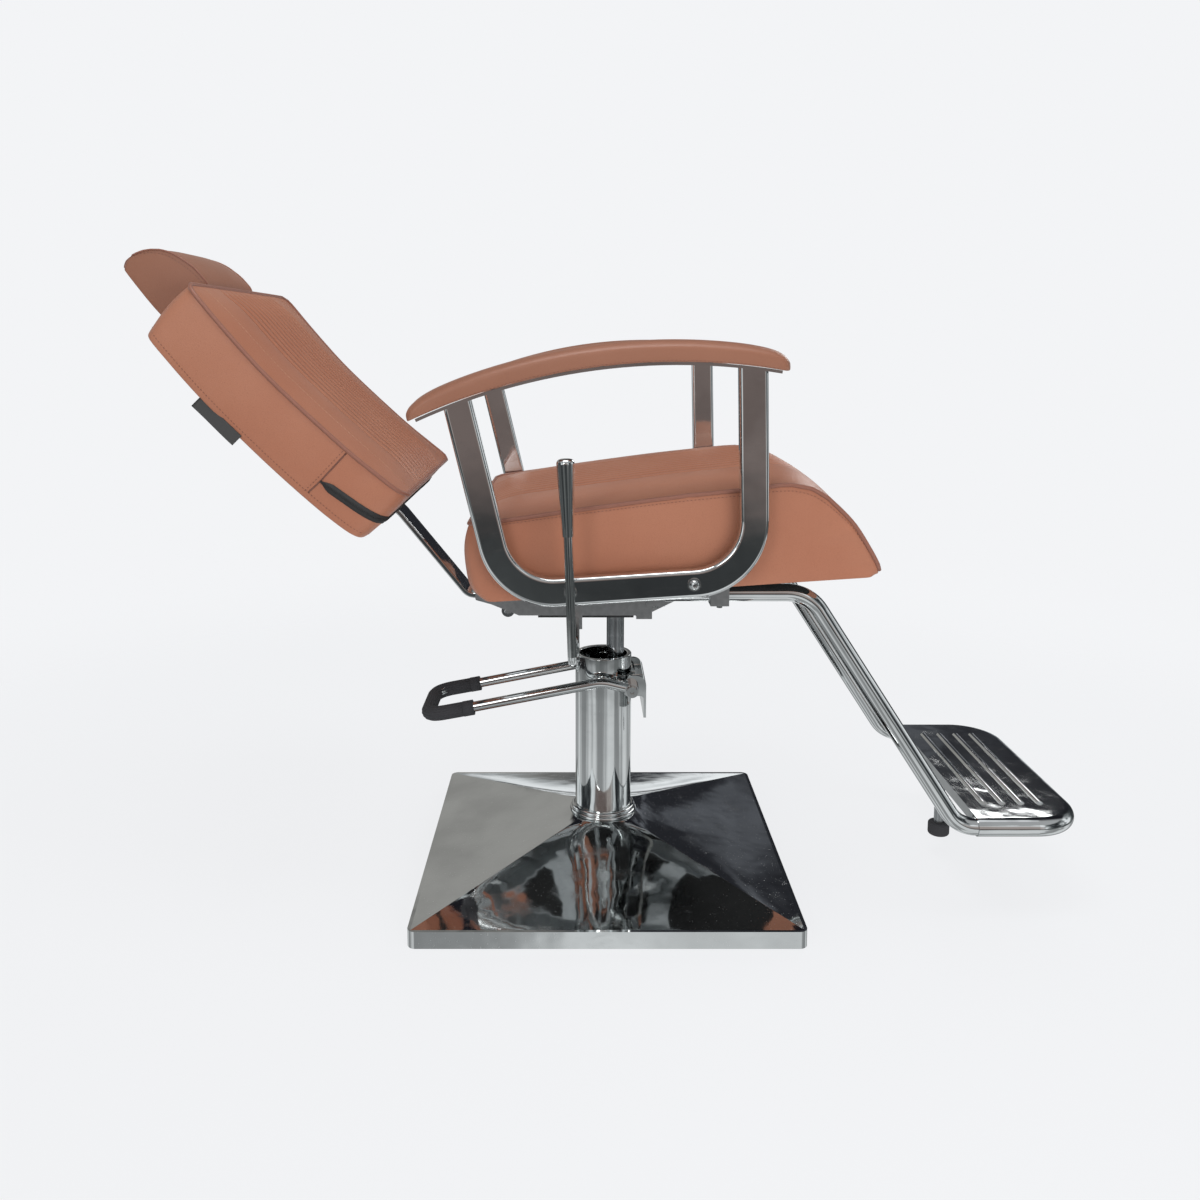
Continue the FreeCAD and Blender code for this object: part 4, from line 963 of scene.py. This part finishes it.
@dataclass
class Seat:
    """Seat cushion with pleated middle, side piping and a waterfall nose."""

    half_width: float = 0.270
    tilt: float = math.radians(3.8)
    board_inset: float = 0.016
    board: float = 0.015
    pleats: int = 11
    welt: float = 0.0030

    def build(self) -> None:
        """Makes the cushion, its piping and its stitching."""
        low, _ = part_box("seat_board")
        c, s = math.cos(self.tilt), math.sin(self.tilt)
        origin = Vector((low.x - self.board_inset * c + self.board * s, 0.0, low.z - self.board_inset * s))
        plane = Tilted(origin, self.tilt)
        cushion = Cushion(
            "seat_pad", "seat", "seat_cushion", plane.at, self.half_width - 0.004,
            top=[(-0.036, 0.108), (0.011, 0.111), (0.100, 0.118), (0.174, 0.123), (0.250, 0.128),
                 (0.327, 0.131), (0.390, 0.134), (0.420, 0.129), (0.443, 0.116), (0.478, 0.078),
                 (0.502, 0.036), (0.514, 0.007)],
            under=[(-0.024, 0.001), (0.25, 0.0005), (0.506, 0.001)],
            rear=[(-0.024, 0.001), (-0.040, 0.016), (-0.045, 0.046), (-0.044, 0.080), (-0.036, 0.108)],
            front=[(0.506, 0.001), (0.512, 0.003), (0.514, 0.007)],
            corner_rear=0.020, corner_front=0.012, crown=0.016, cap=0.010, pleats=self.pleats,
            pleat_pitch=0.0225, pleat_depth=0.0034, pleat_to=0.985, wrinkle_along=0.80,
            wrinkle_depth=0.0095)
        cushion.build()
        edge = chain((0.995, -1.0, 1.0), (70, (0.0, -1.0, 1.0)), (30, (0.0, 1.0, 1.0)),
                     (70, (0.995, 1.0, 1.0)))
        cushion.welt("seat_piping", edge, self.welt)
        cushion.stitches("seat_pleat_stitches", cushion.pleat_rows(0.95), THREAD_DARK, 0.00035)
        sides = [chain((0.02, side.value, 0.955), (60, (0.97, side.value, 0.94))) for side in Side]
        cushion.stitches("seat_side_stitches", sides, THREAD_DARK, 0.0004)


@dataclass
class Back:
    """Back cushion with pleats, piping, a zipped cover, a blank label and a headrest.

    The seams are placed by their shares of the half width and of the thickness.
    """

    half_width: float = 0.250
    lean: float = math.radians(45.4)
    pleats: int = 11
    welt: float = 0.0030
    outer_seam: float = 0.78
    rear_seam: float = 0.10
    zip_width: float = 0.013
    label_centre: Spot = (-0.0225, 0.004, 0.2555)
    label_size: Point2 = (0.017, 0.075)

    def plane(self) -> Tilted:
        """The back's own upright plane."""
        low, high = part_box("back_board")
        c, s = math.cos(self.lean), math.sin(self.lean)
        return Tilted(Vector((high.x - 0.024 * c + 0.018 * s, 0.0, low.z - 0.012 * s - 0.018 * c)), self.lean)

    def build(self) -> None:
        """Makes the back cushion, its trimming and the headrest."""
        plane = self.plane()

        def at(along: float, side: float, up: float) -> Vector:
            """Place of a point by height up the back, side and distance from its rear face."""
            return plane.at(up, side, along)

        cushion = Cushion(
            "back_pad", "back", "back_cushion", at, self.half_width - 0.005,
            top=[(0.004, 0.080), (0.050, 0.075), (0.117, 0.070), (0.240, 0.068), (0.330, 0.074),
                 (0.408, 0.083)],
            under=[(0.006, -0.007), (0.05, -0.013), (0.12, -0.017), (0.20, -0.018), (0.30, -0.015),
                   (0.405, -0.005)],
            rear=[(0.006, -0.007), (0.002, 0.030), (0.004, 0.080)],
            front=[(0.405, -0.005), (0.411, 0.040), (0.408, 0.083)],
            corner_rear=0.024, corner_front=0.022, crown=0.014, belly=0.012, cap=0.009, pleats=self.pleats,
            pleat_pitch=0.0225, pleat_depth=0.0036, pleat_from=0.005, pleat_to=0.995, wrinkle_along=0.12,
            wrinkle_depth=0.003)
        cushion.build()
        cushion.welt("back_piping", around(1.0)[:-1], self.welt, True)
        rows = cushion.pleat_rows(0.98)
        for side in Side:
            share = side.value * self.outer_seam
            rows.append(chain((0.02, share, 1.0), (60, (0.98, share, 1.0))))
        cushion.stitches("back_pleat_stitches", rows, THREAD, 0.0004, 0.0070, 0.0040)
        low = self.rear_seam
        seams = [chain((0.255, side.value, low), (14, (0.255, side.value, 0.94))) for side in Side]
        cushion.stitches("back_cover_stitches", [around(low), *seams], THREAD_DARK, 0.00045)
        for side in Side:
            seam = chain((0.242, side.value, low), (14, (0.242, side.value, 0.96)))
            cushion.welt(f"back_side_seam_{side.word}", seam, 0.0012, sunk=1 / 6, finish=THREAD_DARK)
        self.zip(cushion)
        self.label(plane)
        self.headrest(plane)

    def zip(self, cushion: Cushion) -> None:
        """Black zip round the lower edge of the cover, with its teeth.

        Args:
            cushion: the back cushion.
        """
        line = chain((0.240, -1.0, 0.37), (24, (0.0, -1.0, 0.45)), (50, (0.0, 1.0, 0.45)),
                     (24, (0.240, 1.0, 0.37)))
        places = cushion.on_line(line)
        mesh = bmesh.new()
        previous = None
        for k, (place, normal) in enumerate(places):
            ahead = places[min(k + 1, len(places) - 1)][0] - places[max(k - 1, 0)][0]
            width = min(1.0, (k + 0.4) / 4, (len(places) - k - 0.6) / 4)
            side = ahead.cross(normal).normalized() * self.zip_width / 2 * width
            pair = [mesh.verts.new(place + normal * 0.0011 + side * s) for s in (-1, 1)]
            if previous:
                mesh.faces.new((previous[0], previous[1], pair[1], pair[0]))
            previous = pair
        bmesh.ops.recalc_face_normals(mesh, faces=mesh.faces)
        bmesh.ops.solidify(mesh, geom=mesh.faces[:], thickness=0.0012)
        tape = publish(mesh, "back_zip_tape", [ZIP], "back")
        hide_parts("back_zip")
        teeth = bmesh.new()
        beads(teeth, places, 0.0024, (0.0008, 0.0028, 0.0009), 0.0016)
        publish(teeth, "back_zip_teeth", [ZIP], "back", smooth=False)

    def label(self, plane: Tilted) -> None:
        """Blank woven label sewn to the rear seam.

        Args:
            plane: the back's own plane.
        """
        depth, side, height = self.label_centre
        width, length = self.label_size
        mesh = bmesh.new()
        bmesh.ops.create_grid(mesh, x_segments=10, y_segments=16, size=1.0)
        for vertex in mesh.verts:
            across, along = vertex.co.x, vertex.co.y
            curl = 0.0016 * math.sin(along * 2.2) + 0.0012 * across
            vertex.co = plane.at(depth + across * width / 2, side - self.half_width + curl,
                                 height + along * length / 2)
        bmesh.ops.solidify(mesh, geom=mesh.faces[:], thickness=0.0008)
        piece = publish(mesh, "back_label_blank", [LABEL], "back")
        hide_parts("back_label")

    def headrest(self, plane: Tilted) -> None:
        """Wedge-shaped headrest pad.

        Args:
            plane: the back's own plane.
        """
        low = 0.412

        def at(along: float, side: float, up: float) -> Vector:
            """Place of a point by height above the pad's lower edge, side and distance from the rear."""
            return plane.at(up, side, low + along)

        cushion = Cushion(
            "headrest_pad", "headrest", "headrest_cushion", at, 0.107,
            top=[(0.008, 0.069), (0.012, 0.075), (0.030, 0.078), (0.054, 0.077), (0.085, 0.069),
                 (0.108, 0.048), (0.119, 0.024)],
            under=[(0.004, -0.006), (0.040, -0.005), (0.080, 0.000), (0.116, 0.006)],
            rear=[(0.004, -0.006), (0.004, 0.030), (0.008, 0.069)],
            front=[(0.116, 0.006), (0.120, 0.014), (0.119, 0.024)],
            corner_rear=0.010, corner_front=0.010, crown=0.004, cap=0.004, cell=0.008, levels=8, fill=0.8,
            # The headrest top takes the darker leathercloth copy, which paints shade on its top.
            finishes=(HIDE_SHADED, HIDE_SIDE))
        cushion.build()
        for side in Side:
            edge = chain((0.02, side.value, 1.0), (24, (1.0, side.value, 1.0)), (10, (1.0, side.value, 0.0)))
            cushion.welt(f"headrest_seam_{side.word}", edge, 0.0014)
        rows = [chain((0.05, side.value, 0.93), (40, (0.97, side.value, 0.90))) for side in Side]
        cushion.stitches("headrest_stitches", rows, THREAD_DARK, 0.0004)


@dataclass
class Arms:
    """The two armrest pads."""

    half_width: float = 0.0265
    strip: float = 0.004
    chord: Sequence[Point2] = ((0.0, 0.0), (0.239, 0.067), (0.469, 0.062))

    def arc(self, side: str) -> tuple[Arc, float]:
        """Arc of one armrest.

        Args:
            side: right or left.

        Returns:
            The arc and its length.
        """
        low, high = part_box(f"arm_strip_{side}")
        (ax, az), (bx, bz), (cx, cz) = ((low.x + 0.0005 + x, low.z + z) for x, z in self.chord)
        d = 2 * (ax * (bz - cz) + bx * (cz - az) + cx * (az - bz))
        qa, qb, qc = ax * ax + az * az, bx * bx + bz * bz, cx * cx + cz * cz
        ox = (qa * (bz - cz) + qb * (cz - az) + qc * (az - bz)) / d
        oz = (qa * (cx - bx) + qb * (ax - cx) + qc * (bx - ax)) / d
        radius = math.hypot(ax - ox, az - oz)
        start, end = math.atan2(az - oz, ax - ox), math.atan2(cz - oz, cx - ox)
        return Arc((ox, oz), radius, start, (low.y + high.y) / 2), (start - end) * radius

    def build(self) -> None:
        """Makes both pads."""
        for side in Side:
            arc, length = self.arc(side.word)
            base = self.strip + 0.0006
            cushion = Cushion(
                f"arm_cushion_{side.word}", "seat", f"arm_pad_{side.word}", arc.at, self.half_width,
                top=[(-0.009, base + 0.010), (0.004, base + 0.018), (0.040, base + 0.0245),
                     (0.16, base + 0.0265), (length * 0.5, base + 0.0270), (length - 0.10, base + 0.0268),
                     (length - 0.03, base + 0.0255), (length - 0.003, base + 0.0215),
                     (length + 0.011, base + 0.012)],
                under=[(-0.005, base), (length * 0.25, base), (length * 0.5, base), (length * 0.75, base),
                       (length + 0.008, base)],
                rear=[(-0.005, base), (-0.010, base + 0.004), (-0.009, base + 0.010)],
                front=[(length + 0.008, base), (length + 0.012, base + 0.005),
                       (length + 0.011, base + 0.012)],
                corner_rear=0.016, corner_front=0.018, crown=0.001, droop=0.008, cap=0.003, cell=0.008,
                # Both panels take the darker leathercloth copy, which paints shade over the arm pads.
                levels=6, fill=0.85, finishes=(HIDE_SHADED, HIDE_SHADED))
            cushion.build()
            rows = [chain((0.03, edge.value, 0.10), (80, (0.97, edge.value, 0.10))) for edge in Side]
            cushion.stitches(f"arm_stitches_{side.word}", rows, THREAD_DARK, 0.0003)


# ---- hardware pieces

@dataclass
class Base:
    """Double rolled ring where the column meets the base cover."""

    column: float = 0.0452
    steps: int = 72

    def build(self) -> None:
        """Spins the section of the ring round the column."""
        low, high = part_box("base_ring")
        outer = (high.x - low.x) / 2
        rise = high.z - low.z
        profile = [(self.column, low.z + 0.0006), (outer - 0.003, low.z + 0.0004)]
        for centre, reach, half in ((0.34, outer, 0.34), (1.0, outer - 0.0025, 0.30)):
            for k in range(9):
                turn = -math.pi / 2 + math.pi * k / 8
                profile.append((reach + rise * half * (math.cos(turn) - 1.0),
                                low.z + rise * (centre + half * math.sin(turn))))
        profile.append((self.column, low.z + rise * 1.42))
        mesh = bmesh.new()
        verts = [mesh.verts.new((r, 0.0, z)) for r, z in profile]
        edges = [mesh.edges.new(pair) for pair in zip(verts, verts[1:] + verts[:1])]
        bmesh.ops.spin(mesh, geom=verts + edges, cent=(0, 0, 0), axis=(0, 0, 1), angle=2 * math.pi,
                       steps=self.steps, use_merge=True)
        ring = publish(mesh, "base_ring_rolled", [CHROME], "base")
        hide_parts("base_ring")


@dataclass
class Pedal:
    """Ribbed rubber grip of the foot pedal, and the return spring of its plunger."""

    pedal: float = 0.0125
    grip: float = 0.0115
    bend: float = 0.030
    ribs: int = 16
    rib_depth: float = 0.0011
    sleeve: float = 0.016
    spring_wire: float = 0.0012
    spring_turns: int = 6
    turn_steps: int = 24
    plunger_stroke: float = 0.02105

    def build(self) -> None:
        """Draws the grip along the pedal's end, its two collars and the spring."""
        low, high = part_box("pedal_grip")
        half = (high.y - low.y) / 2 - self.pedal
        front_x, end_x = high.x, low.x + self.pedal
        front_z, end_z = high.z - self.pedal, low.z + self.pedal
        corners = [Vector((front_x, -half, front_z)), Vector((end_x, -half, end_z)),
                   Vector((end_x, half, end_z)), Vector((front_x, half, front_z))]
        line = rounded_line(corners, self.bend, 10)
        grip = tube("pedal_grip_ribbed", line, self.grip, RUBBER, "pedal", ribs=self.ribs,
                    rib_depth=self.rib_depth)
        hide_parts("pedal_grip")
        for side in Side:
            start = Vector((front_x, side.value * half, front_z))
            back = (Vector((end_x, side.value * half, end_z)) - start).normalized()
            points = [start - back * 0.0006, start + back * self.sleeve]
            tube(f"pedal_grip_collar_{side.word}", points, self.grip + 0.0004, RUBBER, "pedal")
        self.spring()

    def spring(self) -> None:
        """Return spring of the plunger, built as a coil of fixed length; the real one shortens as the pedal
        goes down.
        """
        low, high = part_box("plunger_spring")
        middle = (low + high) / 2
        reach = (high.x - low.x) / 2 - self.spring_wire
        start, end = low.z + self.spring_wire, high.z - self.spring_wire
        steps = self.spring_turns * self.turn_steps
        points = []
        for k in range(steps + 1):
            turn = 2 * math.pi * k / self.turn_steps
            points.append(Vector((middle.x + reach * math.cos(turn), middle.y + reach * math.sin(turn),
                                  start + (end - start) * k / steps)))
        coil = tube("plunger_return_spring", points, self.spring_wire, ZINC, "base")
        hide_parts("plunger_spring")
        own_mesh(coil)


def dress_frame() -> None:
    """Gives every node of the frame its finish."""
    for finish, names in WEAR.items():
        for name in names:
            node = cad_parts[name]
            node.data.materials.clear()
            node.data.materials.append(finish.material())
    missed = set(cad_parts) - {name for names in WEAR.values() for name in names}
    if missed:
        raise ValueError(f"no finish for {sorted(missed)}")


# ---- studio

@dataclass
class Studio:
    """Pale floor, soft light and the camera."""

    pale: Tone = (0.896, 0.905, 0.922)
    ambient: float = 0.55
    lens: float = 32.337
    shift: Point2 = (0.018333, -0.105542)
    eye: Spot = (-0.04099, -1.68911, 0.84035)
    pitch: float = math.radians(83.0)

    def camera(self) -> None:
        """Places the camera level with the armrests, looking slightly down."""
        data = bpy.data.cameras.new("studio_camera")
        data.lens = self.lens
        data.sensor_width = 36.0
        data.shift_x, data.shift_y = self.shift
        data.dof.use_dof = False
        eye = bpy.data.objects.new("studio_camera", data)
        eye.location = self.eye
        eye.rotation_euler = (self.pitch, 0.0, 0.0)
        bpy.context.scene.collection.objects.link(eye)
        bpy.context.scene.camera = eye

    def sky(self) -> None:
        """Pale surroundings with darker workshop shapes for the bright metal to mirror."""
        world = bpy.data.worlds.new("studio_sky")
        bpy.context.scene.world = world
        world.use_nodes = True
        shop = Shop(world.node_tree)
        look = shop.add("ShaderNodeTexCoord", output="Generated")
        x, y, z = shop.split(look)
        wobble = shop.noise(look, 2.6, 4.0) - 0.5
        turn = y.angle(x)
        band = (turn * 5.0 + wobble * 7.0 + 0.9).sine() * 0.42 + 0.5 + wobble * 0.5
        stops = [(0.0, rgba(0.012, 0.013, 0.015)), (0.22, rgba(0.05, 0.055, 0.06)),
                 (0.45, rgba(0.20, 0.215, 0.22)),
                 (0.70, rgba(0.34, 0.36, 0.37)), (0.84, rgba(0.95, 0.98, 1.0))]
        level = shop.add("ShaderNodeValToRGB", {"stops": stops}, {"Fac": band})
        dim = shop.mix(wobble.ramp(-0.12, 0.16), rgba(0.035, 0.038, 0.040), rgba(0.15, 0.16, 0.16))
        near = shop.mix(band.ramp(0.15, 0.80), rgba(0.30, 0.31, 0.315), rgba(0.72, 0.74, 0.75))
        ground = shop.mix((z + wobble * 0.04).ramp(-0.335, -0.275), near, dim)
        smudge = shop.mix(wobble.ramp(0.02, 0.20), rgba(0.022, 0.023, 0.028), rgba(0.34, 0.36, 0.40))
        behind = shop.mix((x * 3.0 + wobble).ramp(-0.35, 0.25), rgba(0.35, 0.345, 0.33), smudge)
        warm = shop.mix(wobble.ramp(-0.05, 0.12), rgba(0.19, 0.15, 0.14), rgba(0.44, 0.39, 0.37))
        level = shop.mix((y * -1.0 + wobble * 0.2).ramp(0.78, 0.93), level, warm)
        lower = shop.mix((z + wobble * 0.10).ramp(-0.20, -0.11), ground, level)
        lower = shop.mix((y + wobble * 0.2).ramp(0.62, 0.80) * z.ramp(0.0, 0.05), lower, behind)
        overhead = (y + wobble * 0.3).ramp(-0.1, 0.3)
        upper = shop.mix(overhead, rgba(0.42, 0.43, 0.44), rgba(0.012, 0.012, 0.016))
        mirrored = shop.mix((z + wobble * 0.2).ramp(0.46, 0.58), lower, upper)
        mirrored = shop.mix((z + wobble * 0.06).ramp(0.90, 0.96), mirrored, rgba(0.95, 0.97, 1.0))
        rays = shop.add("ShaderNodeLightPath", output="Is Glossy Ray")
        lit = shop.add("ShaderNodeLightPath", output="Is Diffuse Ray")
        soft = shop.mix(lit, rgba(*self.pale), rgba(*(self.ambient * part for part in self.pale)))
        colour = shop.mix(rays, soft, mirrored)
        _close(shop, shop.add("ShaderNodeBackground", None, {"Color": colour, "Strength": 1.0}),
               "ShaderNodeOutputWorld")

    def floor(self) -> None:
        """A wide pale disc that fades into the surroundings."""
        mesh = bmesh.new()
        bmesh.ops.create_circle(mesh, cap_ends=True, radius=9.0, segments=96)
        data = bpy.data.meshes.new("studio_floor")
        mesh.to_mesh(data)
        mesh.free()
        floor = bpy.data.objects.new("studio_floor", data)
        bpy.context.scene.collection.objects.link(floor)
        paint = bpy.data.materials.new("floor_pale")
        paint.use_nodes = True
        shop = Shop(paint.node_tree)
        x, y, _ = shop.split(shop.place())
        away = ((x * x + y * y) ** 0.5).ramp(1.0, 3.2)
        mottled = shop.mix(shop.noise(shop.place(), 3.0), rgba(*self.pale), rgba(0.90, 0.91, 0.925))
        lit = shop.add("ShaderNodeBsdfDiffuse", None, {"Color": mottled})
        glow = shop.add("ShaderNodeEmission", None, {"Color": rgba(*self.pale), "Strength": 1.0})
        near = shop.add("ShaderNodeMixShader", None, {0: 0.88, 1: lit, 2: glow})
        clear = shop.add("ShaderNodeBsdfTransparent")
        _close(shop, shop.add("ShaderNodeMixShader", None, {0: away, 1: near, 2: clear}))
        data.materials.append(paint)
        floor.visible_glossy = False

    def lamp(self, name: str, place: Sequence[float], aim: Sequence[float], size: Point2, power: float,
             shiny: bool = True) -> None:
        """One soft rectangular lamp.

        Args:
            name: its name.
            place: where it hangs.
            aim: the point it faces.
            size: its width and height.
            power: in watts.
            shiny: whether bright metal mirrors it.
        """
        data = bpy.data.lights.new(name, "AREA")
        data.shape = "RECTANGLE"
        data.size, data.size_y = size
        data.energy = power
        lamp = bpy.data.objects.new(name, data)
        lamp.location = place
        lamp.visible_glossy = shiny
        lamp.rotation_euler = (Vector(aim) - Vector(place)).to_track_quat("-Z", "Y").to_euler()
        bpy.context.scene.collection.objects.link(lamp)

    def build(self) -> None:
        """Sets up the whole studio."""
        bpy.context.scene.view_settings.view_transform = "Standard"
        self.camera()
        self.sky()
        self.floor()
        self.lamp("overhead_softbox", (-0.1, -0.5, 2.6), (0.0, 0.0, 0.5), (1.3, 0.8), 17.0)
        self.lamp("front_softbox", (-0.9, -2.3, 1.5), (0.0, 0.0, 0.6), (0.5, 1.1), 8.0)
        self.lamp("low_fill", (0.95, -2.1, 0.6), (0.2, 0.0, 0.5), (1.0, 0.9), 14.0, shiny=False)
        self.lamp("rear_softbox", (1.3, 1.8, 1.6), (0.0, 0.0, 0.5), (0.5, 1.0), 7.0)


def main() -> None:
    """Builds the studio, dresses the frame and makes every new piece in order."""
    logging.basicConfig(level=logging.INFO, format="%(name)s: %(message)s")
    Studio().build()
    dress_frame()
    for part in (Base(), Pedal(), Arms(), Seat(), Back()):
        part.build()
        LOG.info("built %s", type(part).__name__)


if __name__ == "__main__":
    main()
